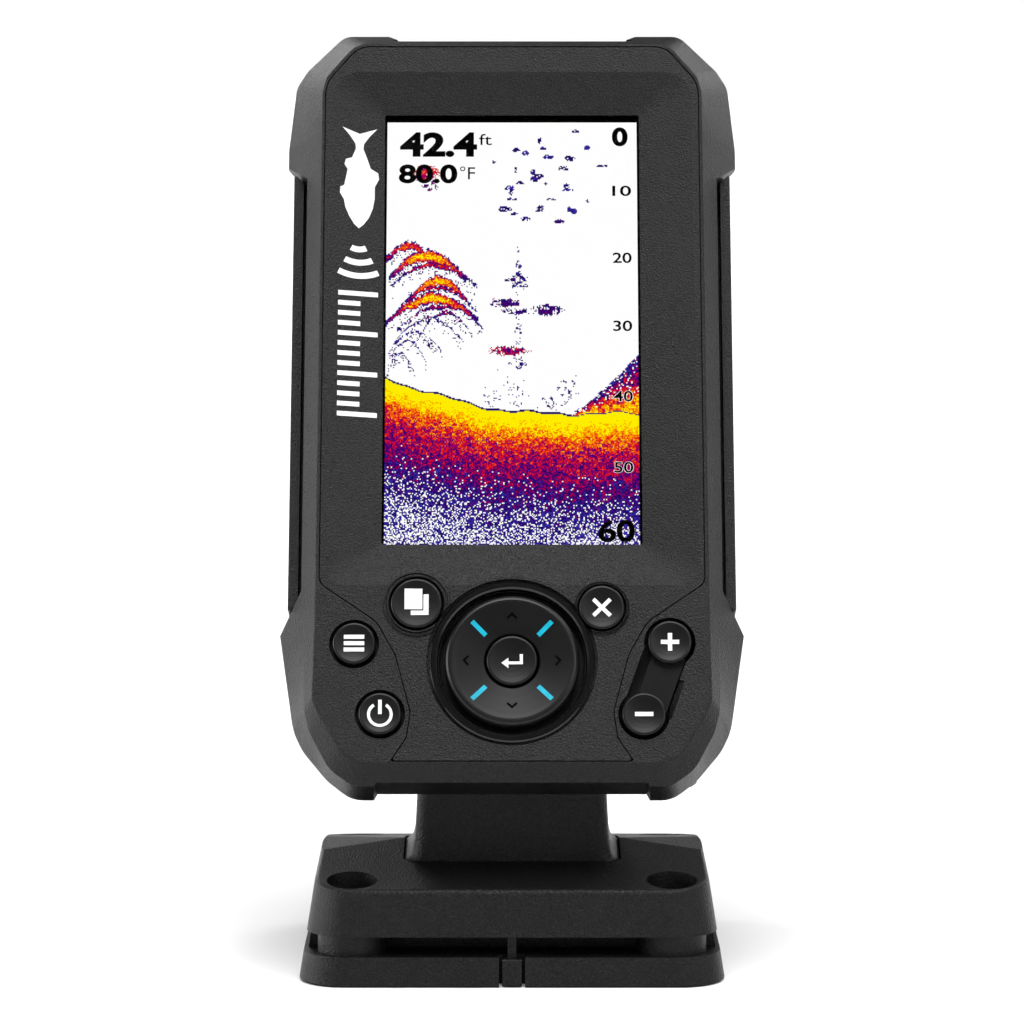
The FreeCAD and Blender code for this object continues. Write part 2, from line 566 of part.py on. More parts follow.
# --- rear of the unit ---------------------------------------------------------------------------
def rear_housing():
    shell = fused([
        taper(mirrored(REAR_EDGE), on_n(REAR_FRONT), mirrored(BACK_EDGE), on_n(REAR_BACK), both(REAR_RADII)),
        taper(mirrored(BULGE_FOOT), on_n(REAR_BACK - 0.3), mirrored(BULGE_TOP), on_n(BULGE_BACK),
              both([5.0, 3.0, 2.0, 3.0, 4.0])),
        slab(RAIL, RAIL_FRONT, REAR_BACK - 0.9, [0.4] * 4),
        slab([(-x, u) for x, u in RAIL][::-1], RAIL_FRONT, REAR_BACK - 0.9, [0.4] * 4),
    ])
    tongue = slab(mirrored([(32.7, 63.5), (41.3, 54.2), (41.3, -83.3), (35.3, -93.2), (31.9, -95.1)]),
                  11.0, 14.4)
    shell = shell.fuse(tongue)
    hollow = slab(mirrored([(31.4, 61.4), (39.5, 52.8), (39.5, -82.0), (33.8, -91.2)]), 10.0, REAR_BACK - 1.8)
    bulge_hollow = taper(mirrored([(24.8, 55.4), (30.8, 48.8), (31.2, 45.6), (31.2, -44.8), (27.4, -52.4)]),
                         on_n(14.0),
                         mirrored([(21.6, 51.4), (27.4, 45.6), (27.6, 43.8), (27.6, -42.0), (24.8, -48.2)]),
                         on_n(BULGE_BACK - WALL))
    shell = shell.cut([hollow, bulge_hollow])
    columns = [peg(side * x, u, 3.4, 13.9, REAR_BACK - 1.0) for x, u in CASE_SCREWS for side in (-1, 1)]
    columns += [peg(side * x, u, 3.0, 9.6, REAR_BACK - 1.0) for x, u in CRADLE_SCREWS for side in (-1, 1)]
    columns += [peg(side * x, u, 2.6, 15.9, BULGE_BACK - 1.0) for x, u in PILLARS for side in (-1, 1)]
    shell = shell.fuse(columns)
    cuts = []
    for x, u in CASE_SCREWS:
        for side in (-1, 1):
            cuts += [peg(side * x, u, 1.6, 10, 20), peg(side * x, u, 3.0, 15.2, 20)]
    for x, u in CRADLE_SCREWS:
        cuts += [peg(side * x, u, 1.25, 10.6, 20) for side in (-1, 1)]
    for x, u in SOCKETS.values():
        cuts.append(peg(x, u, SOCKET_WALL, 20, BULGE_BACK + 5))
    cuts.append(peg(0, 24.0, 3.0, 20, BULGE_BACK + 5))
    cuts.append(slab(rect(-21, 21, -8, 14), BULGE_BACK - 0.35, BULGE_BACK + 1, [1.5] * 4))
    for x in (-24.0, -16.0, 16.0, 24.0):
        cuts.append(slab(rect(x - 1.2, x + 1.2, 22.0, 46.0), BULGE_BACK - 0.8, BULGE_BACK + 1, [1.1] * 4))
    return shell.cut(cuts).removeSplitter()


def housing_seal():
    """Cord seal squeezed between the frame's wall and the rear housing's tongue."""
    outer = slab(mirrored([(33.0, 64.0), (41.7, 54.6), (41.7, -83.6), (35.6, -93.6), (32.0, -95.6)]),
                 9.4, 11.0)
    inner = slab(mirrored([(32.3, 62.4), (40.3, 53.7), (40.3, -83.0), (34.8, -92.2), (31.5, -94.0)]),
                 9.0, 12.0)
    return outer.cut(inner)


def screw(x, u, n_head, length, shank, head, head_height):
    """Pan-head screw driven along -n from the back, with a cross-shaped drive."""
    body = turned([(0, n_head - length), (shank * 0.5, n_head - length), (shank, n_head - length + 0.8),
                   (shank, n_head), (head, n_head), (head, n_head + head_height * 0.5),
                   (head * 0.75, n_head + head_height), (0, n_head + head_height)], x, u)
    drive = [block(x - a, x + a, n_head + head_height - 0.9, n_head + 5, u - b, u + b)
             for a, b in ((head * 0.55, 0.35), (0.35, head * 0.55))]
    return body.cut(drive)


def case_screws():
    return Part.makeCompound([screw(side * x, u, 15.2, 9.5, 1.25, 2.6, 1.3)
                              for x, u in CASE_SCREWS for side in (-1, 1)])


def socket(name):
    """Round bulkhead socket with a keyed bore and a threaded collar."""
    x, u = SOCKETS[name]
    back = BULGE_BACK
    thread = []
    for ring in range(4):
        n = back + 1.9 + ring * 0.8
        thread += [(SOCKET_WALL, n), (SOCKET_WALL + 0.35, n + 0.25), (SOCKET_WALL, n + 0.5)]
    body = turned([(0, SOCKET_FLOOR - 2), (SOCKET_WALL - 0.1, SOCKET_FLOOR - 2), (SOCKET_WALL - 0.1, back),
                   (SOCKET_FLANGE, back), (SOCKET_FLANGE, back + 1.2), (SOCKET_FLANGE - 0.5, back + 1.6),
                   (SOCKET_WALL, back + 1.6)] + thread + [(SOCKET_WALL - 0.4, SOCKET_OUT),
                                                          (SOCKET_BORE, SOCKET_OUT),
                   (SOCKET_BORE, SOCKET_FLOOR), (0, SOCKET_FLOOR)], x, u)
    key = block(x - 0.9, x + 0.9, SOCKET_FLOOR - 0.1, SOCKET_OUT - 1.5, u + SOCKET_BORE - 0.9,
                u + SOCKET_BORE + 0.2)
    return fused([body, key])


def contact_pins(name, count, radius):
    x, u = SOCKETS[name]
    pins = []
    for i in range(count):
        a = 2 * math.pi * (i + 0.5) / count
        px, pu = x + radius * math.cos(a), u + radius * math.sin(a)
        pins.append(turned([(0, SOCKET_FLOOR), (0.6, SOCKET_FLOOR), (0.6, SOCKET_FLOOR + 5.0),
                            (0.3, SOCKET_FLOOR + 5.5), (0, SOCKET_FLOOR + 5.5)], px, pu))
    return Part.makeCompound(pins)


def vent_plug():
    """Pressure-equalising vent pressed into the rear wall."""
    return turned([(0, 25.4), (2.98, 25.4), (2.98, BULGE_BACK), (4.2, BULGE_BACK), (4.2, BULGE_BACK + 0.5),
                   (3.8, BULGE_BACK + 0.9), (1.2, BULGE_BACK + 0.9), (1.2, BULGE_BACK + 0.5),
                   (0, BULGE_BACK + 0.5)],
                  0, 24.0)


def rating_label():
    return slab(rect(-20.6, 20.6, -7.6, 13.6), BULGE_BACK - 0.35, BULGE_BACK - 0.1, [1.2] * 4)


# --- tilt joint ---------------------------------------------------------------------------------
def tilt_cradle():
    """Plate screwed to the back of the unit, with two ears that straddle the neck's knuckle."""
    plate = slab(rect(-EAR_OUTER, EAR_OUTER, -90.5, -59.5), CRADLE_FRONT, CRADLE_BACK, [2.0] * 4)
    plate = plate.cut(block(-ARM_HALF_X - 0.6, ARM_HALF_X + 0.6, 10, 30, -95, -84))
    ears = []
    for x0 in (-EAR_OUTER, EAR_INNER):
        web = [(CRADLE_BACK - 0.5, -90.0), (HINGE_N, HINGE_U - KNUCKLE_RADIUS),
               (HINGE_N, HINGE_U + KNUCKLE_RADIUS), (CRADLE_BACK - 0.5, -60.5)]
        ears.append(prism(web, on_x(x0), V(EAR_OUTER - EAR_INNER, 0, 0)))
        ears.append(axle(KNUCKLE_RADIUS, x0, x0 + EAR_OUTER - EAR_INNER, HINGE_N, HINGE_U))
    ribs = [block(x - 1.0, x + 1.0, CRADLE_BACK - 0.5, CRADLE_BACK + 1.4, -82.0, -61.5)
            for x in (-12, -4, 4, 12)]
    body = fused([plate] + ears + ribs)
    cuts = [axle(PIN_RADIUS + 0.1, -40, 40, HINGE_N, HINGE_U)]
    cuts.append(hexagon_bar(5.1, -EAR_OUTER - 1, -EAR_OUTER + 2.6))
    for x, u in CRADLE_SCREWS:
        for side in (-1, 1):
            cuts += [peg(side * x, u, 1.6, 10, 60), peg(side * x, u, 2.9, CRADLE_BACK - 1.4, 60)]
    return body.cut(cuts).removeSplitter()


def hexagon_bar(radius, x0, x1):
    points = [(HINGE_N + radius * math.cos(math.pi * i / 3), HINGE_U + radius * math.sin(math.pi * i / 3))
              for i in range(6)]
    return prism(points, on_x(x0), V(x1 - x0, 0, 0))


def cradle_screws():
    return Part.makeCompound([screw(side * x, u, CRADLE_BACK - 1.4, 8.0, 1.25, 2.6, 1.2)
                              for x, u in CRADLE_SCREWS for side in (-1, 1)])


def tilt_pin():
    """Bolt through both ears and the knuckle; its hexagon head sits in the left ear."""
    head = hexagon_bar(5.0, -EAR_OUTER - 0.6, -EAR_OUTER + 2.6)
    shank = axle(PIN_RADIUS, -EAR_OUTER + 2.0, KNOB_START + 8.5, HINGE_N, HINGE_U)
    return fused([head, shank])


def clamp_washer():
    ring = axle(7.5, EAR_OUTER + 0.05, KNOB_START - 0.05, HINGE_N, HINGE_U)
    return ring.cut(axle(PIN_RADIUS + RUNNING, 0, 60, HINGE_N, HINGE_U))


def tilt_knob():
    """Lobed clamping knob."""
    x0, x1 = KNOB_START, KNOB_START + KNOB_LENGTH
    axis_start = V(0, HINGE_N, HINGE_U)
    profile = [(x0, 0), (x0, 8.4), (x0 + 2.2, 8.8), (x0 + 3.2, KNOB_RADIUS), (x1 - 1.6, KNOB_RADIUS - 0.3),
               (x1 - 0.5, KNOB_RADIUS - 1.1), (x1, KNOB_RADIUS - 2.8), (x1 - 0.5, 6.0), (x1 - 0.5, 0)]
    ring = Part.makePolygon([V(x, HINGE_N, HINGE_U + r) for x, r in profile + profile[:1]])
    body = Part.Face(ring).revolve(axis_start, V(1, 0, 0), 360)
    scallops = []
    for lobe in range(KNOB_LOBES):
        a = 2 * math.pi * lobe / KNOB_LOBES
        reach = KNOB_RADIUS + 2.6
        scallops.append(axle(4.2, x0 + 2.6, x1 + 1, HINGE_N + reach * math.cos(a),
                             HINGE_U + reach * math.sin(a)))
    body = body.cut(scallops)
    return body.cut(axle(5.0, x0 - 1, x0 + 9.5, HINGE_N, HINGE_U))


def knob_insert():
    """Threaded brass bush moulded into the knob."""
    ring = axle(5.0, KNOB_START, KNOB_START + 9.5, HINGE_N, HINGE_U)
    return ring.cut(axle(PIN_RADIUS + RUNNING, KNOB_START - 1, KNOB_START + 20, HINGE_N, HINGE_U))


# --- neck ---------------------------------------------------------------------------------------
def neck_flare(side):
    """Hollow fillet at the neck's foot on the front (side -1) or rear half of the base's roof."""
    def above_roof(height):
        return lambda x, y: V(x, side * y, RIDGE_Z - y * (RIDGE_Z - EAVE_Z) / BASE_HALF_Y + height)

    sections = [outline(rect(-NECK_FOOT_X - spread, NECK_FOOT_X + spread, 0, NECK_HALF_Y - FLARE_SETBACK),
                        above_roof(height), [0, 0, NECK_CORNER, NECK_CORNER])
                for height, spread in NECK_FLARE]
    return Part.makeLoft(sections, True, True)


def bracket_arm():
    """Neck: a flared foot in the base's pocket, a tapered column and the hinge knuckle."""
    foot = prism(rect(-22.6, 22.6, -14.9, 14.9), on_z(POCKET_Z), V(0, 0, 10), [2.2] * 4).common(roof(0.3))
    column = taper(rect(-20.9, 20.9, -NECK_HALF_Y, NECK_HALF_Y), on_z(POCKET_Z + 2),
                   rect(-ARM_HALF_X, ARM_HALF_X, -NECK_HALF_Y, NECK_HALF_Y), on_z(NECK_SHOULDER_Z),
                   [NECK_CORNER] * 4)
    lean = KNUCKLE_RADIUS / math.sqrt(2)
    crown = [(-NECK_HALF_Y, NECK_SHOULDER_Z - 0.5), (-NECK_HALF_Y, NECK_SHOULDER_Z),
             (HINGE_Y - lean, HINGE_Z + lean), (HINGE_Y + KNUCKLE_RADIUS, HINGE_Z),
             (NECK_HALF_Y, NECK_SHOULDER_Z), (NECK_HALF_Y, NECK_SHOULDER_Z - 0.5)]
    head = prism(crown, on_x(-ARM_HALF_X), V(2 * ARM_HALF_X, 0, 0))
    corner = prism(rect(-ARM_HALF_X, ARM_HALF_X, -NECK_HALF_Y, NECK_HALF_Y + 10), on_z(30), V(0, 0, 40),
                   [NECK_CORNER] * 4)
    knuckle = axle(KNUCKLE_RADIUS, -ARM_HALF_X, ARM_HALF_X, HINGE_Y, HINGE_Z)
    body = fused([foot, column, neck_flare(-1), neck_flare(1), head.common(corner), knuckle])
    cells = [block(x0, x0 + 15.9, -11.8, 11.8, POCKET_Z - 1, 33.5) for x0 in (-17.4, 1.5)]
    bosses = [post(sx * 15.6, sy * 10.2, 3.4, POCKET_Z, 30.0) for sx in (-1, 1) for sy in (-1, 1)]
    body = body.cut(cells).fuse(bosses)
    cuts = [post(sx * 15.6, sy * 10.2, 1.5, POCKET_Z - 1, 28.0) for sx in (-1, 1) for sy in (-1, 1)]
    cuts.append(axle(BUSH_RADIUS, -30, 30, HINGE_Y, HINGE_Z))
    return body.cut(cuts).removeSplitter()


def hinge_bushes():
    bushes = []
    for x0 in (-ARM_HALF_X, ARM_HALF_X - BUSH_LENGTH):
        bush = axle(BUSH_RADIUS, x0, x0 + BUSH_LENGTH, HINGE_Y, HINGE_Z)
        bushes.append(bush.cut(axle(PIN_RADIUS + RUNNING, -40, 40, HINGE_Y, HINGE_Z)))
    return Part.makeCompound(bushes)


def friction_discs():
    discs = []
    for x0 in (-ARM_HALF_X - DISC_THICK, ARM_HALF_X):
        disc = axle(8.5, x0, x0 + DISC_THICK, HINGE_Y, HINGE_Z)
        discs.append(disc.cut(axle(PIN_RADIUS + 0.3, -40, 40, HINGE_Y, HINGE_Z)))
    return Part.makeCompound(discs)


def up_screw(x, y, z_head, length, shank, head):
    """Countersunk screw driven upward."""
    profile = [(0, z_head), (head, z_head), (shank, z_head + head - shank), (shank, z_head + length - 1),
               (shank * 0.4, z_head + length), (0, z_head + length)]
    ring = Part.makePolygon([V(x + r, y, z) for r, z in profile + profile[:1]])
    body = Part.Face(ring).revolve(V(x, y, 0), V(0, 0, 1), 360)
    drive = [block(x - a, x + a, y - b, y + b, z_head - 1, z_head + 0.9)
             for a, b in ((1.5, 0.35), (0.35, 1.5))]
    return body.cut(drive)


def arm_screws():
    return Part.makeCompound([up_screw(sx * 15.6, sy * 10.2, 15.0, 12.0, 1.5, 2.9)
                              for sx in (-1, 1) for sy in (-1, 1)])


# --- base ---------------------------------------------------------------------------------------
def base_outline(inset, z):
    """The base's drafted rectangle at a height, set in by inset."""
    shrink = z * math.tan(math.radians(DRAFT)) + inset
    return rect(-BASE_HALF_X + shrink, BASE_HALF_X - shrink, -BASE_HALF_Y + shrink, BASE_HALF_Y - shrink)


def base_block(inset, z0, z1, radius):
    return taper(base_outline(inset, z0), on_z(z0), base_outline(inset, z1), on_z(z1), [radius] * 4)


def roof(drop):
    """Hipped envelope of the base's top, lowered by drop."""
    eave, ridge = EAVE_Z - drop, RIDGE_Z - drop
    front_back = prism([(-BASE_HALF_Y, -1), (-BASE_HALF_Y, eave), (0, ridge), (BASE_HALF_Y, eave),
                        (BASE_HALF_Y, -1)],
                       on_x(-60), V(120, 0, 0))
    side_z = ridge - (60 - HIP_X) * HIP_FALL
    across = prism([(-60, -1), (-60, side_z), (-HIP_X, ridge), (HIP_X, ridge), (60, side_z), (60, -1)],
                   lambda a, b: V(a, -50, b), V(0, 100, 0))
    return front_back.common(across)


def base_hole_spots():
    return [(sx * BASE_HOLE_X, sy * BASE_HOLE_Y) for sx in (-1, 1) for sy in (-1, 1)]


def mounting_plate():
    body = fused([
        taper(base_outline(FOOT_CHAMFER, 0), on_z(0), base_outline(0, FOOT_CHAMFER), on_z(FOOT_CHAMFER),
              [BASE_CORNER] * 4),
        base_block(0, FOOT_CHAMFER, PLATE_TOP, BASE_CORNER),
    ])
    plinths = [post(x, y, BOSS_RADIUS, PLATE_TOP - 0.5, COVER_BOTTOM) for x, y in base_hole_spots()]
    wall = prism(rect(-30, 30, -24, 24), on_z(PLATE_TOP - 0.5), V(0, 0, 4.0), [4.0] * 4)
    wall = wall.cut(prism(rect(-27, 27, -21, 21), on_z(PLATE_TOP - 1), V(0, 0, 6.0), [2.5] * 4))
    body = fused([body, wall] + plinths)
    cuts = [post(x, y, BASE_HOLE_RADIUS, -1, 20) for x, y in base_hole_spots()]
    cuts.append(block(-TAB_HALF_X - TAB_GAP, TAB_HALF_X + TAB_GAP, -40, -BASE_HALF_Y + 4.5, -1, 20))
    for x in (-22.0, -11.0, 11.0, 22.0):
        cuts.append(prism(rect(x - 3.6, x + 3.6, -16, 16), on_z(1.8), V(0, 0, 10), [1.5] * 4))
    return body.cut(cuts).removeSplitter()


def latch_tab():
    """Snap tab in the front wall that locks the cover to the mounting plate, hung from a thin stem."""
    front, top = -BASE_HALF_Y + 0.35, PLATE_TOP - 0.5
    pad = [(front + 0.05, 0.4), (front + 0.85, top - 0.2), (front + 1.1, top), (front + 3.6, top),
           (front + 3.6, 0.4)]
    stem = [(front + 2.4, top - 1.0), (front + 2.4, COVER_BOTTOM - 0.05), (front + 3.6, COVER_BOTTOM - 0.05),
            (front + 3.6, top - 1.0)]
    return fused([prism(pad, on_x(-TAB_HALF_X), V(2 * TAB_HALF_X, 0, 0)),
                  prism(stem, on_x(-TAB_STEM_X), V(2 * TAB_STEM_X, 0, 0))])


def base_cover():
    body = base_block(0, COVER_BOTTOM, 26.0, BASE_CORNER).common(roof(0))
    rim = [e for e in body.Edges if e.BoundBox.ZMin > EAVE_Z - 1.0 and abs(e.CenterOfMass.y) > 1.0
           and (abs(e.CenterOfMass.x) > 34 or abs(e.CenterOfMass.y) > 28)]
    body = body.makeFillet(1.1, rim)
    hollow = base_block(2.8, COVER_BOTTOM - 1, 24.0, 6.5).common(roof(2.6))
    hollow = hollow.cut([
        block(-25.5, 25.5, -17.7, 17.7, 0, 40),
        block(-1.2, 1.2, -40, 40, 0, 40),
        block(-50, 50, -1.2, 1.2, 0, 40),
    ] + [post(x, y, BOSS_RADIUS, 0, 40) for x, y in base_hole_spots()])
    body = body.cut(hollow)
    well = prism(rect(-22.6, 22.6, -14.8, 14.8), on_z(COVER_BOTTOM - 1), V(0, 0, 4.7), [2.0] * 4)
    pocket = prism(rect(-POCKET_X, POCKET_X, -POCKET_Y, POCKET_Y), on_z(POCKET_Z), V(0, 0, 20), [2.4] * 4)
    feet = []
    for sx in (-1, 1):
        for sy in (-1, 1):
            foot = block(min(sx * 39, sx * 50), max(sx * 39, sx * 50), sy * 22.0 - 1.6, sy * 22.0 + 1.6,
                         PLATE_TOP, 12.0)
            foot = foot.cut(post(sx * BASE_HOLE_X, sy * BASE_HOLE_Y, BOSS_RADIUS + 0.1, 0, COVER_BOTTOM))
            feet.append(foot.common(base_block(0.9, PLATE_TOP, 12.0, 8.0)))
    body = body.fuse(feet)
    cuts = [well, pocket]
    for x, y in base_hole_spots():
        cuts += [post(x, y, COUNTERBORE_RADIUS, COUNTERBORE_FLOOR, 40), post(x, y, BASE_HOLE_RADIUS, 0, 40)]
    for sx in (-1, 1):
        for sy in (-1, 1):
            cuts += [post(sx * 15.6, sy * 10.2, 1.7, 10, 20),
                     Part.makeCone(3.1, 1.7, 1.4, V(sx * 15.6, sy * 10.2, 15.0), V(0, 0, 1)),
                     post(sx * 15.6, sy * 10.2, 3.1, 10, 15.01)]
    return body.cut(cuts).removeSplitter()


# --- write one file per node ----------------------------------------------------------------------
def export(name, shape):
    if not shape.isValid():
        print("NOT VALID:", name)
    print(f"{name:20s} solids {len(shape.Solids):2d}  volume {shape.Volume / 1000:8.3f} cm3")
    shape.exportStep(f"parts/{name}.step")


UNIT_NODES = {
    "front_frame": front_frame,
    "face_plate": face_plate,
    "pad_trim_ring": pad_trim_ring,
    "lens": lens,
    "lens_tape": lens_tape,
    "lcd_panel": lcd_panel,
    "lcd_tray": lcd_tray,
    "lcd_flex": lcd_flex,
    "keypad_membrane": keypad_membrane,
    "key_board": key_board,
    "dome_switches": dome_switches,
    "pages_key": lambda: plain_key(PAGES_KEY),
    "exit_key": lambda: plain_key(EXIT_KEY),
    "menu_key": lambda: plain_key(MENU_KEY),
    "power_key": lambda: plain_key(POWER_KEY),
    "zoom_rocker": zoom_rocker,
    "enter_key": enter_key,
    "direction_pad": direction_pad,
    "pad_light_bars": light_bars,
    "pad_plate": pad_plate,
    "main_board": main_board,
    "board_pillars": board_pillars,
    "board_chips": board_chips,
    "shield_can": shield_can,
    "heat_spreader": heat_spreader,
    "gps_antenna": gps_antenna,
    "buzzer": buzzer,
    "board_connectors": board_connectors,
    "rear_housing": rear_housing,
    "housing_seal": housing_seal,
    "case_screws": case_screws,
    "power_socket": lambda: socket("power"),
    "transducer_socket": lambda: socket("transducer"),
    "power_pins": lambda: contact_pins("power", 4, 2.6),
    "transducer_pins": lambda: contact_pins("transducer", 7, 3.6),
    "vent_plug": vent_plug,
    "rating_label": rating_label,
    "tilt_cradle": tilt_cradle,
    "cradle_screws": cradle_screws,
    "tilt_pin": tilt_pin,
    "clamp_washer": clamp_washer,
    "tilt_knob": tilt_knob,
    "knob_insert": knob_insert,
}

BRACKET_NODES = {
    "bracket_arm": bracket_arm,
    "hinge_bushes": hinge_bushes,
    "friction_discs": friction_discs,
    "arm_screws": arm_screws,
    "base_cover": base_cover,
    "latch_tab": latch_tab,
    "mounting_plate": mounting_plate,
}

os.makedirs("parts", exist_ok=True)
for node, build in UNIT_NODES.items():
    export(node, leaned(build()))
for node, build in BRACKET_NODES.items():
    export(node, build())
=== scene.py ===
import json
import math

import bmesh
import bpy
import numpy as np
from mathutils import Matrix, Vector


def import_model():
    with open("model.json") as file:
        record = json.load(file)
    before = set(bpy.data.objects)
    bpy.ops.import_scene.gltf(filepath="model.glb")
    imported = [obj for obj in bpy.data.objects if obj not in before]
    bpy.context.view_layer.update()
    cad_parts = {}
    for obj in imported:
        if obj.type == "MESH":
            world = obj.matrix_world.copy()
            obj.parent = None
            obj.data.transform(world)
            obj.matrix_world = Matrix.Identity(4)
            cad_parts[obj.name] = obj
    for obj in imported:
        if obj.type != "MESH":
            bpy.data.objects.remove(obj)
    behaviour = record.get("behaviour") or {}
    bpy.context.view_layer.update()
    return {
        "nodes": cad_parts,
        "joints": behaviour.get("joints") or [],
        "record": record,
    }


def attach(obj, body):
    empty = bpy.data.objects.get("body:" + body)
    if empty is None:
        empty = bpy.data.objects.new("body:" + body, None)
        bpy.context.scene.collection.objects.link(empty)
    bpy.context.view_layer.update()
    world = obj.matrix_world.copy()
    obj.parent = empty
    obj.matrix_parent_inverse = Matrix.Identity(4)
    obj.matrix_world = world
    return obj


# The looks of a compact fish finder: moulded charcoal plastic, a lit sonar screen, printed key
# marks and a generic graphic. Lengths are metres in the world, and millimetres in the display
# unit's own frame: x to the right, n into the unit from its face, u up the face.

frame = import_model()
nodes = frame["nodes"]
joints = {j["name"]: j for j in frame["joints"]}
MM = 0.001

# --- the display unit's frame, from the joints --------------------------------------------------
PAD_U, PAD_PIVOT_N = -73.9, 3.0               # where the pad's pivot lies in the unit's frame
PAD_PIVOT = Vector(joints["pad_rock_up_down"]["pos_m"])
AXIS_X = Vector((1, 0, 0))
AXIS_N = Vector(joints["pages_press"]["axis"]).normalized()
AXIS_U = AXIS_X.cross(AXIS_N)
ORIGIN = PAD_PIVOT - PAD_U * MM * AXIS_U - PAD_PIVOT_N * MM * AXIS_N

# --- sizes in the unit's frame, millimetres -----------------------------------------------------
ACTIVE_HALF_X, ACTIVE_HALF_U = 26.93, 47.52   # the lit area of a 4.3-inch panel
CELLS_X, CELLS_U = 204, 360                   # picture cells
PICTURE_N = 4.15                              # how deep the lit picture lies
BORDER_RISE = 0.02                            # the black border stands in front of the picture
FIGURE_RISE = 0.03                            # and the figures in front of the border
SCREEN_HALF_THICK = 0.01                      # half the thickness of border and figures
BORDER_MARGIN = 0.12                          # from the lens's edge in to the border's
INK_HALF_THICK = 0.03                         # half the thickness of printed marks
RAY_START = 5.0                               # how far in front of a node a ray sets out


def world(x, n, u):
    return ORIGIN + MM * (x * AXIS_X + n * AXIS_N + u * AXIS_U)


def unit_box(node):
    """Lowest and highest (x, n, u) of a CAD node, in millimetres."""
    co = np.array([v.co for v in nodes[node].data.vertices]) - np.array(ORIGIN)
    local = np.stack([co @ np.array(a) for a in (AXIS_X, AXIS_N, AXIS_U)], axis=1) / MM
    return local.min(axis=0).tolist(), local.max(axis=0).tolist()


# --- material building --------------------------------------------------------------------------
class Tree:
    """A node tree with short calls; a node's inputs are given by name or by number."""

    def __init__(self, tree):
        self.tree = tree

    def add(self, kind, inputs=None, **settings):
        node = self.tree.nodes.new(kind)
        for key, value in settings.items():
            setattr(node, key, value)
        for key, value in (inputs or {}).items():
            self.feed(node.inputs[key], value)
        return node

    def feed(self, socket, value):
        """Links a socket or sets it to a constant. Colours are given without alpha."""
        if isinstance(value, bpy.types.NodeSocket):
            self.tree.links.new(value, socket)
        elif socket.type == "RGBA":
            socket.default_value = (*value, 1.0)
        else:
            socket.default_value = value

    def maths(self, operation, a, b):
        return self.add("ShaderNodeMath", {0: a, 1: b}, operation=operation).outputs[0]


SHADER_SOCKETS = {"colour": "Base Color", "roughness": "Roughness", "normal": "Normal",
                  "metallic": "Metallic", "specular": "Specular IOR Level", "ior": "IOR",
                  "transmission": "Transmission Weight", "emission": "Emission Color",
                  "emission_strength": "Emission Strength"}


class Nodes(Tree):
    """A new material's node tree."""

    def __init__(self, name):
        self.material = bpy.data.materials.new(name)
        self.material.use_nodes = True
        super().__init__(self.material.node_tree)
        self.shader = self.tree.nodes["Principled BSDF"]
        self.place = self.add("ShaderNodeTexCoord").outputs["Object"]

    def noise(self, scale, detail=2.0, roughness=0.5, place=None):
        return self.add("ShaderNodeTexNoise", {"Vector": place or self.place, "Scale": scale,
                                               "Detail": detail,
                                               "Roughness": roughness}).outputs["Fac"]

    def cells(self, scale):
        return self.add("ShaderNodeTexVoronoi", {"Vector": self.place, "Scale": scale},
                        feature="SMOOTH_F1").outputs["Distance"]

    def ramp(self, value, stops, interpolation="LINEAR"):
        """A colour ramp; a stop is a position with a colour or a grey level."""
        node = self.add("ShaderNodeValToRGB", {"Fac": value})
        node.color_ramp.interpolation = interpolation
        while len(node.color_ramp.elements) < len(stops):
            node.color_ramp.elements.new(0.5)
        for element, (position, colour) in zip(node.color_ramp.elements, stops):
            element.position = position
            element.color = (*(colour if isinstance(colour, tuple) else 3 * (colour,)), 1.0)
        return node.outputs["Color"]

    def mix(self, fac, a, b):
        return self.add("ShaderNodeMix", {"Factor": fac, 6: a, 7: b}, data_type="RGBA").outputs[2]

    def span(self, value, low, high):
        """value from 0..1 to low..high."""
        return self.add("ShaderNodeMapRange", {"Value": value, "To Min": low,
                                               "To Max": high}).outputs["Result"]

    def sway(self, value, amount):
        """value from 0..1 to half of amount either side of nought."""
        return self.maths("MULTIPLY", self.maths("SUBTRACT", value, 0.5), amount)

    def bump(self, height, relief_mm):
        return self.add("ShaderNodeBump", {"Height": height,
                                           "Distance": relief_mm * MM}).outputs["Normal"]

    def finish(self, **sockets):
        """Feeds the shader and gives the material."""
        for key, value in sockets.items():
            self.feed(self.shader.inputs[SHADER_SOCKETS[key]], value)
        return self.material


def shade(colour, factor):
    return tuple(c * factor for c in colour)


def moulded(name, colour, roughness, grain_mm, relief_mm, specular=0.25):
    """Textured moulded plastic: an etched grain and a slow drift of tone and gloss."""
    m = Nodes(name)
    grain = m.noise(1 / (grain_mm * MM), roughness=0.6)
    pits = m.cells(1 / (grain_mm * 0.8 * MM))
    relief = m.maths("ADD", grain, m.maths("MULTIPLY", pits, 0.5))
    drift = m.noise(55.0, detail=4.0)
    speck = m.ramp(grain, [(0.42, 0.0), (0.64, 1.0)])
    tone = m.maths("ADD", m.maths("MULTIPLY", drift, 0.3), m.maths("MULTIPLY", speck, 0.7))
    rough = m.maths("ADD", m.span(drift, roughness - 0.04, roughness + 0.04), m.sway(grain, 0.3))
    return m.finish(colour=m.mix(tone, shade(colour, 0.3), shade(colour, 2.6)), roughness=rough,
                    specular=specular, normal=m.bump(relief, relief_mm))


def satin(name, colour, roughness, specular=0.5):
    """Smooth satin plastic with faint flow marks."""
    m = Nodes(name)
    drift = m.noise(90.0, detail=5.0, roughness=0.6)
    fine = m.noise(2600.0)
    rough = m.maths("ADD", m.span(drift, roughness - 0.06, roughness + 0.06),
                    m.maths("MULTIPLY", fine, 0.04))
    return m.finish(colour=m.mix(drift, shade(colour, 0.75), shade(colour, 1.3)), roughness=rough,
                    specular=specular, normal=m.bump(fine, 0.006))


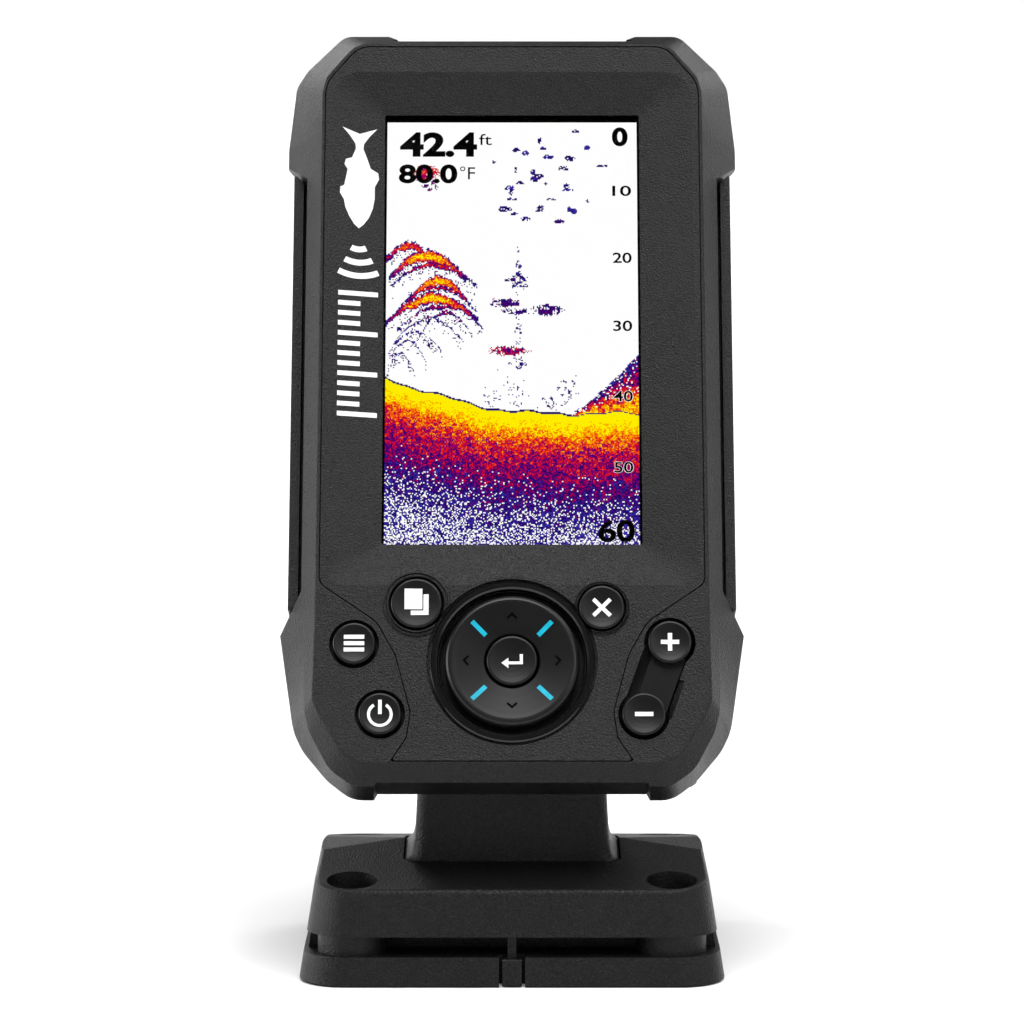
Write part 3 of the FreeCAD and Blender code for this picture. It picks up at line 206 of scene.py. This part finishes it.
def metal(name, colour, roughness, brushed=(1.0, 1.0, 1.0)):
    """Bright metal; its fine lines are drawn out along the axes that brushed makes small."""
    m = Nodes(name)
    stretched = m.add("ShaderNodeMapping", {"Vector": m.place, "Scale": brushed})
    lines = m.noise(2500.0, detail=3.0, place=stretched.outputs["Vector"])
    stain = m.noise(300.0, detail=4.0)
    rough = m.maths("ADD", m.span(lines, roughness - 0.07, roughness + 0.07), m.sway(stain, 0.12))
    return m.finish(colour=m.mix(stain, shade(colour, 0.8), colour), roughness=rough,
                    metallic=1.0, normal=m.bump(lines, 0.008))


def rubbery(name, colour):
    """Matt rubber with a pale bloom."""
    m = Nodes(name)
    bloom = m.noise(140.0, detail=5.0)
    fine = m.noise(1800.0)
    return m.finish(colour=m.mix(bloom, colour, shade(colour, 1.8)),
                    roughness=m.span(bloom, 0.62, 0.8), specular=0.35, normal=m.bump(fine, 0.02))


def circuit(name):
    """Solder mask over copper traces."""
    m = Nodes(name)
    brick = m.add("ShaderNodeTexBrick", {
        "Vector": m.place, "Scale": 240.0, "Mortar Size": 0.03, "Color1": (0.0, 0.0, 0.0),
        "Color2": (0.35, 0.35, 0.35), "Mortar": (1.0, 1.0, 1.0)}).outputs["Color"]
    patches = m.ramp(m.noise(160.0), [(0.45, 0.0), (0.55, 1.0)], "CONSTANT")
    traces = m.maths("MULTIPLY", brick, patches)
    colour = m.mix(traces, (0.008, 0.085, 0.035), (0.03, 0.2, 0.09))
    return m.finish(colour=colour, roughness=0.32, normal=m.bump(traces, 0.03))


def glass(name):
    """Bonded cover glass: clear, with a faint smudge in its gloss."""
    m = Nodes(name)
    smudge = m.noise(70.0, detail=5.0, roughness=0.7)
    return m.finish(colour=(1.0, 1.0, 1.0), roughness=m.span(smudge, 0.0, 0.006),
                    transmission=1.0, ior=1.12, specular=0.3)


# from no echo to the strongest
SONAR_STOPS = [(0.0, (1.0, 1.0, 1.0)), (0.1, (0.035, 0.02, 0.33)), (0.2, (0.012, 0.003, 0.13)),
               (0.33, (0.075, 0.0, 0.17)), (0.44, (0.36, 0.0, 0.07)), (0.55, (0.72, 0.008, 0.012)),
               (0.68, (0.90, 0.11, 0.003)), (0.78, (0.96, 0.38, 0.0)), (0.88, (1.0, 0.84, 0.0))]


def sonar(name):
    """The display: echo strength, kept on the picture's cells, through a sonar palette."""
    m = Nodes(name)
    echo = m.add("ShaderNodeAttribute", attribute_name="echo").outputs["Fac"]
    return m.finish(colour=(0.0, 0.0, 0.0), roughness=0.25, specular=0.0,
                    emission=m.ramp(echo, SONAR_STOPS, "CONSTANT"), emission_strength=1.0)


def glowing(name, colour, strength):
    """A lit light guide, a little uneven along its length."""
    m = Nodes(name)
    haze = m.noise(420.0)
    dim, unlit = shade(colour, 0.7), shade(colour, 0.15)
    return m.finish(colour=m.mix(haze, unlit, dim), roughness=0.35, specular=0.3,
                    emission=m.mix(haze, dim, colour), emission_strength=strength)


def printed(name, colour, specular=0.3):
    """Screen-printed ink, slightly uneven."""
    m = Nodes(name)
    cover = m.noise(1500.0, detail=3.0)
    return m.finish(colour=m.mix(cover, shade(colour, 0.9), colour),
                    roughness=m.span(cover, 0.45, 0.6), specular=specular,
                    normal=m.bump(cover, 0.004))


# the finish of each material slot of the CAD: who makes it, and that function's values
FINISHES = {slot: make(slot, *values) for slot, make, *values in (
    ("frame_plastic", moulded, (0.0045, 0.0045, 0.0047), 0.32, 0.36, 0.24),
    ("housing_plastic", moulded, (0.0050, 0.0050, 0.0052), 0.35, 0.36, 0.24),
    ("bracket_plastic", moulded, (0.0045, 0.0045, 0.0047), 0.37, 0.42, 0.22, 0.2),
    ("knob_plastic", moulded, (0.007, 0.007, 0.0072), 0.4, 0.36, 0.08),
    ("chip_resin", moulded, (0.02, 0.02, 0.02), 0.55, 0.2, 0.03),
    ("key_plastic", satin, (0.004, 0.004, 0.0042), 0.32, 0.28),
    ("trim_plastic", satin, (0.003, 0.003, 0.003), 0.16),
    ("socket_plastic", satin, (0.011, 0.011, 0.011), 0.4),
    ("label_film", satin, (0.05, 0.05, 0.052), 0.42),
    ("bush_plastic", satin, (0.72, 0.71, 0.66), 0.4),
    ("ceramic", satin, (0.55, 0.46, 0.34), 0.45),
    ("flex_film", satin, (0.5, 0.24, 0.04), 0.3),
    ("screw_steel", metal, (0.6, 0.6, 0.61), 0.3),
    ("pin_steel", metal, (0.62, 0.62, 0.63), 0.28, (0.1, 1.0, 1.0)),
    ("sheet_steel", metal, (0.6, 0.6, 0.62), 0.35, (0.1, 1.0, 1.0)),
    ("aluminium_sheet", metal, (0.78, 0.78, 0.79), 0.38, (1.0, 0.1, 0.1)),
    ("contact_gold", metal, (0.85, 0.6, 0.22), 0.25),
    ("silicone", rubbery, (0.012, 0.012, 0.012)),
    ("light_guide", glowing, (0.008, 0.42, 0.58), 0.8),
    ("circuit_board", circuit),
    ("screen_glass", glass),
)}
white_ink = printed("white_ink", (0.84, 0.84, 0.84))
black_ink = printed("black_ink", (0.0015, 0.0015, 0.0015), 0.02)
# painted shade: near-black ink on the pad's chevrons stands in for the shade inside grooves
groove_shade_ink = printed("groove_shade_ink", (0.001, 0.001, 0.001), 0.02)
halo = glowing("halo", (0.85, 0.85, 0.85), 0.9)
FINISHES["screen_image"] = black_ink

SMOOTH_ANGLE = math.radians(32)               # steeper edges stay sharp


def dress_cad_nodes():
    """Gives every CAD node the finish of its material slot, and smooth shading over its rounds."""
    for entry in frame["record"]["subparts"]:
        node = nodes[entry["node"]]
        node.data.materials.clear()
        node.data.materials.append(FINISHES[entry["material_slot"]])
        if "custom_normal" in node.data.attributes:
            node.data.attributes.remove(node.data.attributes["custom_normal"])
        node.data.shade_smooth()
        node.data.set_sharp_from_angle(angle=SMOOTH_ANGLE)


# --- small mesh pieces in the unit's frame ------------------------------------------------------
def placed(name, mesh, material, body):
    """Puts a mesh in the scene as an object riding on a body."""
    mesh.materials.append(material)
    obj = bpy.data.objects.new(name, mesh)
    bpy.context.scene.collection.objects.link(obj)
    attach(obj, body)


def piece(name, verts, faces, material, body):
    """An object from (x, n, u) corners in millimetres, its faces turned outwards."""
    mesh = bpy.data.meshes.new(name)
    mesh.from_pydata([world(*v) for v in verts], [], faces)
    bm = bmesh.new()
    bm.from_mesh(mesh)
    bmesh.ops.recalc_face_normals(bm, faces=bm.faces)
    bm.to_mesh(mesh)
    bm.free()
    placed(name, mesh, material, body)


def thick(loops, front, half_thick=INK_HALF_THICK):
    """Verts and faces of flat shapes, from closed (x, u) outlines; front gives n at (x, u)."""
    verts, faces = [], []
    for loop in loops:
        start, count = len(verts), len(loop)
        verts += [(x, front(x, u) - half_thick, u) for x, u in loop]
        verts += [(x, front(x, u) + half_thick, u) for x, u in loop]
        faces.append(list(range(start, start + count)))
        faces.append(list(range(start + 2 * count - 1, start + count - 1, -1)))
        for i in range(count):
            j = (i + 1) % count
            faces.append([start + i, start + j, start + count + j, start + count + i])
    return verts, faces


def bar(x0, u0, x1, u1, width):
    """The outline of a straight stroke."""
    length = math.hypot(x1 - x0, u1 - u0)
    ox, ou = -(u1 - u0) / length * width / 2, (x1 - x0) / length * width / 2
    return [(x0 + ox, u0 + ou), (x1 + ox, u1 + ou), (x1 - ox, u1 - ou), (x0 - ox, u0 - ou)]


def arc(cx, cu, radius, width, start, end, steps=28):
    """The outline of a stroke along a circle, between two angles in degrees."""
    angles = [math.radians(start + (end - start) * i / steps) for i in range(steps + 1)]

    def edge(r):
        return [(cx + r * math.cos(a), cu + r * math.sin(a)) for a in angles]
    return edge(radius - width / 2) + edge(radius + width / 2)[::-1]


def turned(spots, degrees):
    """Spots (x, u) turned about the origin."""
    c, s = math.cos(math.radians(degrees)), math.sin(math.radians(degrees))
    return [(x * c - u * s, x * s + u * c) for x, u in spots]


def surface(node):
    """A function that gives n where a CAD node is first met at (x, u), looking into the unit."""
    nearest = unit_box(node)[0][1]

    def front(x, u):
        hit, spot, _, _ = nodes[node].ray_cast(world(x, nearest - RAY_START, u), AXIS_N)
        return (Vector(spot) - ORIGIN).dot(AXIS_N) / MM if hit else nearest
    return front


def mark(name, node, loops, body, at=None, material=white_ink):
    """A mark laid on a CAD node, printed ink or painted shade; its loops are about the node's
    middle, or about at.
    """
    low, high = unit_box(node)
    cx, cu = at or ((low[0] + high[0]) / 2, (low[2] + high[2]) / 2)
    shifted = [[(cx + x, cu + u) for x, u in loop] for loop in loops]
    verts, faces = thick(shifted, surface(node))
    piece(name, verts, faces, material, body)


# --- key marks ----------------------------------------------------------------------------------
ZOOM_CAP_RADIUS = 4.5


def key_marks():
    front_page = [(-2.48, -1.28), (-2.48, 3.1), (1.24, 3.1), (1.24, -1.28)]
    back_page = [(1.47, 1.91), (2.54, 1.91), (2.54, -2.54), (-1.15, -2.54), (-1.15, -1.59),
                 (1.47, -1.59)]
    mark("pages_mark", "pages_key", [back_page, front_page], "pages")

    arm_of_cross = [(-2.05, 1.47), (-1.47, 2.05), (0.0, 0.58)]
    cross = [spot for turn in range(4) for spot in turned(arm_of_cross, -90 * turn)]
    mark("exit_mark", "exit_key", [cross], "exit")

    reach, pitch, stroke = 2.13, 1.36, 0.85
    lines = [bar(-reach, u, reach, u, stroke) for u in (-pitch, 0.0, pitch)]
    mark("menu_mark", "menu_key", lines, "menu")

    ring = arc(0, -0.2, 2.35, 0.62, 122, 418)
    mark("power_mark", "power_key", [ring, bar(0, -0.1, 0, 2.9, 0.75)], "power")

    low, high = unit_box("zoom_rocker")
    half, arm = 0.45, 1.9
    arm_of_plus = [(half, half), (half, arm), (-half, arm)]
    plus = [spot for turn in range(4) for spot in turned(arm_of_plus, 90 * turn)]
    mark("plus_mark", "zoom_rocker", [plus], "zoom",
         at=(high[0] - ZOOM_CAP_RADIUS, high[2] - ZOOM_CAP_RADIUS))
    mark("minus_mark", "zoom_rocker", [bar(-arm, 0, arm, 0, 2 * half)], "zoom",
         at=(low[0] + ZOOM_CAP_RADIUS, low[2] + ZOOM_CAP_RADIUS))

    arrow = [(1.6, 1.35), (2.25, 1.35), (2.25, -0.8), (-0.75, -0.8), (-0.75, -1.6), (-2.2, -0.5),
             (-0.75, 0.6), (-0.75, -0.2), (1.6, -0.2)]
    mark("enter_mark", "enter_key", [arrow], "enter")

    # the chevrons are grooves in the pad, drawn as near-black marks: painted shade of the grooves
    chevron = [(10.3, 0.0), (9.2, 1.15), (8.85, 0.85), (9.65, 0.0), (8.85, -0.85), (9.2, -1.15)]
    mark("pad_chevrons", "direction_pad", [turned(chevron, 90 * turn) for turn in range(4)],
         "pad", material=groove_shade_ink)


# --- generic graphic beside the screen ----------------------------------------------------------
GRAPHIC_X = -32.8                             # its middle line
GRAPHIC_HALF = 4.2                            # half its width
FISH_TAIL_U, FISH_LENGTH = 45.2, 23.0
ECHO_CENTRE_U, ECHO_RADII, ECHO_STROKE = 21.0, (3.6, 6.6, 9.6), 1.3
ECHO_ANGLES = (244, 296)
LADDER_TOP_U, LADDER_PITCH, LADDER_STROKE = 7.4, 2.25, 1.05
RUNGS, RUNGS_A_STEP = 13, 4                   # each fourth rung runs the full width
SHORT_RUNG = 0.5                              # how far past the middle line the others reach

# outline of the fish: how far along it from the tail, and how far from its middle line
FISH_BACK = [(0.0, 3.7), (0.08, 2.1), (0.16, 0.9), (0.21, 0.8), (0.30, 1.6), (0.40, 2.4),
             (0.44, 4.0), (0.50, 4.2), (0.58, 3.3), (0.70, 3.3), (0.80, 2.9), (0.89, 2.1),
             (0.96, 1.0), (1.0, 0.0)]
FISH_BELLY = [(0.96, -1.0), (0.89, -2.0), (0.80, -2.9), (0.72, -3.25), (0.66, -4.1),
              (0.60, -4.0), (0.58, -3.2), (0.42, -2.5), (0.37, -3.2), (0.32, -2.9),
              (0.30, -1.6), (0.21, -0.8), (0.16, -0.9), (0.08, -2.1), (0.0, -3.7), (0.06, 0.0)]


def side_graphic():
    """A diving fish, echo arcs and a depth ladder down the left of the screen surround."""
    loops = [[(GRAPHIC_X + x, FISH_TAIL_U - FISH_LENGTH * t) for t, x in FISH_BACK + FISH_BELLY]]
    for radius in ECHO_RADII:
        loops.append(arc(GRAPHIC_X, ECHO_CENTRE_U, radius, ECHO_STROKE, *ECHO_ANGLES, steps=14))
    for i in range(RUNGS):
        reach = SHORT_RUNG if i % RUNGS_A_STEP else GRAPHIC_HALF
        u = LADDER_TOP_U - i * LADDER_PITCH
        loops.append(bar(GRAPHIC_X - GRAPHIC_HALF, u, GRAPHIC_X + reach, u, LADDER_STROKE))
    verts, faces = thick(loops, surface("face_plate"))
    piece("side_graphic", verts, faces, white_ink, "display")


# --- the screen ---------------------------------------------------------------------------------
# Places and sizes on the picture are fractions of its width (x) and height (y, downwards).
PICTURE_SEED = 7
FISH_COUNT = 40

# drooping arches: centre x, crown y, half width, thickness, strength
ARCHES = [(0.085, 0.302, 0.100, 0.012, 0.66), (0.165, 0.322, 0.135, 0.017, 0.93),
          (0.190, 0.338, 0.150, 0.008, 0.55), (0.205, 0.388, 0.110, 0.014, 0.90),
          (0.200, 0.402, 0.140, 0.007, 0.50), (0.185, 0.428, 0.160, 0.016, 0.92),
          (0.215, 0.445, 0.150, 0.006, 0.45), (0.240, 0.462, 0.090, 0.006, 0.40),
          (0.170, 0.475, 0.120, 0.005, 0.30), (0.120, 0.500, 0.095, 0.0045, 0.28),
          (0.085, 0.530, 0.070, 0.0045, 0.26), (0.060, 0.556, 0.050, 0.004, 0.26)]

# sparse echoes: centre x, centre y, half width, half height, density, strength
CLOUDS = [(0.525, 0.36, 0.014, 0.06, 0.42, 0.24), (0.525, 0.385, 0.060, 0.018, 0.52, 0.26),
          (0.47, 0.435, 0.065, 0.014, 0.72, 0.32), (0.52, 0.455, 0.060, 0.012, 0.60, 0.28),
          (0.64, 0.452, 0.075, 0.016, 0.70, 0.32), (0.525, 0.49, 0.016, 0.12, 0.34, 0.24),
          (0.49, 0.548, 0.085, 0.013, 0.85, 0.46), (0.52, 0.575, 0.050, 0.020, 0.42, 0.26),
          (0.42, 0.64, 0.035, 0.060, 0.20, 0.24), (0.49, 0.65, 0.11, 0.045, 0.16, 0.24),
          (0.33, 0.43, 0.030, 0.060, 0.24, 0.24), (0.07, 0.47, 0.070, 0.070, 0.16, 0.24),
          (0.155, 0.125, 0.060, 0.024, 0.80, 0.52), (0.17, 0.155, 0.040, 0.014, 0.50, 0.34),
          (0.72, 0.64, 0.060, 0.045, 0.24, 0.24), (0.66, 0.67, 0.090, 0.020, 0.30, 0.26)]


def echo_picture():
    """Echo strength on a grid of rows (top first) by columns, as a sounder would draw it."""
    random = np.random.default_rng(PICTURE_SEED)
    rows, columns = np.mgrid[0:CELLS_U, 0:CELLS_X]
    x = (columns + 0.5) / CELLS_X
    y = (rows + 0.5) / CELLS_U
    grain = random.random((CELLS_U, CELLS_X))
    drops = random.random((CELLS_U, CELLS_X))
    coarse = np.kron(random.random((CELLS_U // 3, CELLS_X // 3)), np.ones((3, 3)))

    # sea bed: strong at its surface, weaker with depth, breaking up at the bottom
    bed = (0.695 - 0.085 * np.clip(1 - x / 0.62, 0, 1) ** 1.7 + 0.004 * np.sin(19 * x)
           + 0.002 * np.sin(53 * x))
    depth = y - bed
    strength = np.interp(depth, [0.0, 0.035, 0.055, 0.075, 0.10, 0.14, 0.18, 0.23, 0.31],
                         [0.99, 0.92, 0.77, 0.64, 0.53, 0.45, 0.34, 0.25, 0.19])
    spread = np.interp(depth, [0.0, 0.03, 0.07, 0.14, 0.3], [0.05, 0.12, 0.24, 0.24, 0.14])
    missing = np.interp(depth, [0.14, 0.20, 0.25, 0.3], [0.0, 0.06, 0.22, 0.42])
    ground = np.clip(strength + spread * (1.5 * (grain - 0.5) + 0.8 * (coarse - 0.5)), 0.12, 1)
    echo = np.where((depth > 0) & (drops >= missing), ground, 0.0)
    echo = np.where(np.abs(depth) < 0.0022, 0.25, echo)

    def add(strength, where):
        nonlocal echo
        echo = np.where(where & (depth < 0), np.maximum(echo, strength), echo)

    # a rise at the right, running off the picture
    rise = 0.708 - 0.150 * np.clip((x - 0.70) / 0.30, 0, 1) ** 1.25 + 0.006 * (coarse - 0.5)
    inside = np.clip((y - rise) / np.maximum(bed - rise, 0.004), 0, 1)
    mass = 0.26 + 0.60 * inside ** 1.1 + 0.30 * (grain - 0.5) + 0.34 * (coarse - 0.5)
    add(np.clip(mass, 0.12, 1), (x > 0.70) & (y > rise) & (drops > 0.16 - 0.2 * inside))

    ragged = np.cumsum(random.normal(0, 1, (len(ARCHES), CELLS_X)), axis=1) * 0.0007
    for (cx, top, half, thickness, strength), wander in zip(ARCHES, ragged):
        across = (x - cx) / half
        crown = top + 0.042 * across ** 2 + wander[None, :] + 0.005 * (coarse - 0.5)
        core = 1 - np.abs(y - crown) / (thickness * (1.15 - 0.6 * np.abs(across)))
        level = strength * np.clip(core * 1.25, 0, 1) ** 0.7 * (1 - 0.55 * across ** 2)
        level = np.clip(level + 0.36 * (grain - 0.5), 0.15, 1)
        add(level, (np.abs(across) < 1.15) & (core > 0) & (drops < 0.30 + 1.9 * core * strength))
        under = (y > crown) & (y < crown + 0.026) & (np.abs(across) < 1.1)
        add(0.22 + 0.2 * grain, under & (drops * 0.6 + coarse * 0.4 < 0.25))

    clump = 0.5 * coarse + 0.5 * drops
    for cx, cy, half_x, half_y, density, strength in CLOUDS:
        away = ((x - cx) / half_x) ** 2 + ((y - cy) / half_y) ** 2
        chance = density * np.clip(1.25 - away, 0, 1)
        add(strength * (0.6 + 0.8 * grain), (clump < chance) & (away < 1.25))

    # small fish near the top
    for _ in range(FISH_COUNT):
        cx, cy = random.normal(0.58, 0.15), random.uniform(0.02, 0.25)
        long, tall = random.uniform(0.006, 0.024), random.uniform(0.003, 0.008)
        away = ((x - cx) / long) ** 2 + ((y - cy - 4 * (x - cx) ** 2) / tall) ** 2
        add(random.uniform(0.12, 0.28) + 0.10 * grain,
            (away < 1) & (drops > 0.15) & (x > 0.42) & (x < 0.88))
    return echo


def screen():
    """One small face per picture cell, each holding its echo strength, and a black border."""
    xs = np.linspace(-ACTIVE_HALF_X, ACTIVE_HALF_X, CELLS_X + 1)
    us = np.linspace(ACTIVE_HALF_U, -ACTIVE_HALF_U, CELLS_U + 1)
    verts = [world(float(x), PICTURE_N, float(u)) for u in us for x in xs]
    row = CELLS_X + 1
    faces = [(r * row + c, (r + 1) * row + c, (r + 1) * row + c + 1, r * row + c + 1)
             for r in range(CELLS_U) for c in range(CELLS_X)]
    mesh = bpy.data.meshes.new("sonar_picture")
    mesh.from_pydata(verts, [], faces)
    echoes = mesh.attributes.new("echo", "FLOAT", "FACE")
    echoes.data.foreach_set("value", echo_picture().ravel().astype(np.float32))
    placed("sonar_picture", mesh, sonar("sonar_picture"), "display")

    low, high = unit_box("lens")
    left, right = low[0] + BORDER_MARGIN, high[0] - BORDER_MARGIN
    foot, head = low[2] + BORDER_MARGIN, high[2] - BORDER_MARGIN
    outer = [(left, foot), (right, foot), (right, head), (left, head)]
    inner = [(-ACTIVE_HALF_X, -ACTIVE_HALF_U), (ACTIVE_HALF_X, -ACTIVE_HALF_U),
             (ACTIVE_HALF_X, ACTIVE_HALF_U), (-ACTIVE_HALF_X, ACTIVE_HALF_U)]
    loops = [[outer[i], outer[(i + 1) % 4], inner[(i + 1) % 4], inner[i]] for i in range(4)]
    verts, faces = thick(loops, lambda x, u: PICTURE_N - BORDER_RISE, SCREEN_HALF_THICK)
    piece("screen_border", verts, faces, black_ink, "display")


def lettered(name, text, weight):
    """A flat mesh of the text, made bolder by weight millimetres, and its two far corners."""
    curve = bpy.data.curves.new(name, "FONT")
    curve.body = text
    curve.size = 5 * MM
    curve.offset = weight * MM
    curve.extrude = SCREEN_HALF_THICK * MM
    holder = bpy.data.objects.new(name, curve)
    mesh = bpy.data.meshes.new_from_object(holder)
    bpy.data.objects.remove(holder)
    mesh.name = name
    mesh.materials.clear()
    spots = np.array([v.co for v in mesh.vertices])
    return mesh, spots.min(axis=0).tolist(), spots.max(axis=0).tolist()


def figures(name, text, left, right, top, bottom, bold=0.0, halo_width=0.0):
    """Digits fitted to a box on the picture, with a pale edge behind them if one is asked for."""
    mesh, low, high = lettered(name, text, bold)
    wide = 2 * ACTIVE_HALF_X * MM * (right - left) / (high[0] - low[0])
    tall = 2 * ACTIVE_HALF_U * MM * (bottom - top) / (high[1] - low[1])
    fitted = Matrix.Diagonal((wide, tall, 1, 1)) @ Matrix.Translation((-low[0], -low[1], 0))
    turn = Matrix((AXIS_X, AXIS_U, -AXIS_N)).transposed().to_4x4()
    layers = [(name, mesh, FIGURE_RISE, black_ink)]
    if halo_width:
        label = f"{name}_halo"
        layers.append((label, lettered(label, text, bold + halo_width)[0], FIGURE_RISE / 2, halo))
    for label, layer, rise, material in layers:
        corner = world(ACTIVE_HALF_X * (2 * left - 1), PICTURE_N - rise,
                       ACTIVE_HALF_U * (1 - 2 * bottom))
        layer.transform(Matrix.Translation(corner) @ turn @ fitted)
        placed(label, layer, material, "display")


def readings():
    """Depth and temperature at the top left, and the depth scale down the right."""
    figures("depth_reading", "42.4", 0.051, 0.36, 0.024, 0.084, 0.2)
    figures("depth_unit", "ft", 0.368, 0.419, 0.028, 0.055)
    figures("temperature_reading", "80.0", 0.047, 0.281, 0.102, 0.148, 0.18)
    figures("temperature_unit", "°F", 0.292, 0.352, 0.107, 0.138)
    figures("scale_0", "0", 0.901, 0.964, 0.012, 0.058, 0.2)
    half = 0.0125
    for text, middle, edge in (("10", 0.166, 0), ("20", 0.327, 0), ("30", 0.489, 0),
                               ("40", 0.655, 0.1), ("50", 0.821, 0.1)):
        figures(f"scale_{text}", text, 0.901, 0.976, middle - half, middle + half, 0.07, edge)
    figures("scale_60", "60", 0.838, 0.980, 0.942, 0.994, 0.13)


# --- studio -------------------------------------------------------------------------------------
PICTURE_PIXELS = 1024
FOCAL_PIXELS = 4231.0                         # fitted to the lit screen's corners
SENSOR_MM = 36.0
CAMERA_PITCH = -6.0
CAMERA_PLACE = (0.0, -0.8949, 0.1892)
FAR_CLIP = 100.0
FLOOR_SIZE = 60.0
SKY_DIM = 0.06                                # the studio's dark surround
PALE_BAND = (0.07, 0.13)                      # heights where the pale backdrop fades into it

# soft boxes: direction, radius of the even part and of the whole in degrees, strength
SOFT_BOXES = [
    ((0.0, -0.26, 0.965), 10, 30, 8.0),
    ((-0.98, 0.12, 0.13), 8, 25, 8.5),
    ((0.62, -0.62, 0.48), 4, 19, 4.6),
    ((-0.72, -0.55, 0.42), 4, 18, 1.6),
    ((0.62, 0.22, 0.75), 5, 16, 5.0),
    ((-0.35, 0.90, 0.22), 4, 20, 2.4),
    ((0.45, 0.86, 0.22), 4, 18, 2.2),
]


def camera():
    lens = bpy.data.cameras.new("camera")
    lens.sensor_width = SENSOR_MM
    lens.lens = FOCAL_PIXELS / PICTURE_PIXELS * SENSOR_MM
    lens.clip_end = FAR_CLIP
    obj = bpy.data.objects.new("camera", lens)
    bpy.context.scene.collection.objects.link(obj)
    obj.location = CAMERA_PLACE
    obj.rotation_euler = (math.radians(90 + CAMERA_PITCH), 0, 0)
    bpy.context.scene.camera = obj


def floor():
    bpy.ops.mesh.primitive_plane_add(size=FLOOR_SIZE)
    ground = bpy.context.object
    ground.name = "floor"
    m = Nodes("floor")
    colour = m.mix(m.noise(2.0), (0.80, 0.80, 0.80), (0.82, 0.82, 0.82))
    ground.data.materials.append(m.finish(colour=colour, roughness=0.8, specular=0.0))


def sky():
    """A dim surround with a pale band at the horizon and soft boxes round it."""
    surround = bpy.data.worlds.new("studio")
    bpy.context.scene.world = surround
    surround.use_nodes = True
    w = Tree(surround.node_tree)

    def faded(value, edges, levels):
        return w.add("ShaderNodeMapRange", {"Value": value, "From Min": edges[0],
                                            "From Max": edges[1], "To Min": levels[0],
                                            "To Max": levels[1]},
                     interpolation_type="SMOOTHSTEP").outputs["Result"]

    way = w.add("ShaderNodeTexCoord").outputs["Generated"]
    height = w.add("ShaderNodeSeparateXYZ", {"Vector": way}).outputs["Z"]
    total = faded(height, PALE_BAND, (1.0, SKY_DIM))
    for direction, even, whole, strength in SOFT_BOXES:
        near = w.add("ShaderNodeVectorMath", {0: way, 1: tuple(Vector(direction).normalized())},
                     operation="DOT_PRODUCT").outputs["Value"]
        edges = (math.cos(math.radians(whole)), math.cos(math.radians(even)))
        total = w.maths("ADD", total, faded(near, edges, (0.0, strength)))
    w.feed(w.tree.nodes["Background"].inputs["Color"], total)


dress_cad_nodes()
key_marks()
side_graphic()
screen()
readings()
camera()
floor()
sky()
bpy.context.scene.view_settings.view_transform = "Standard"
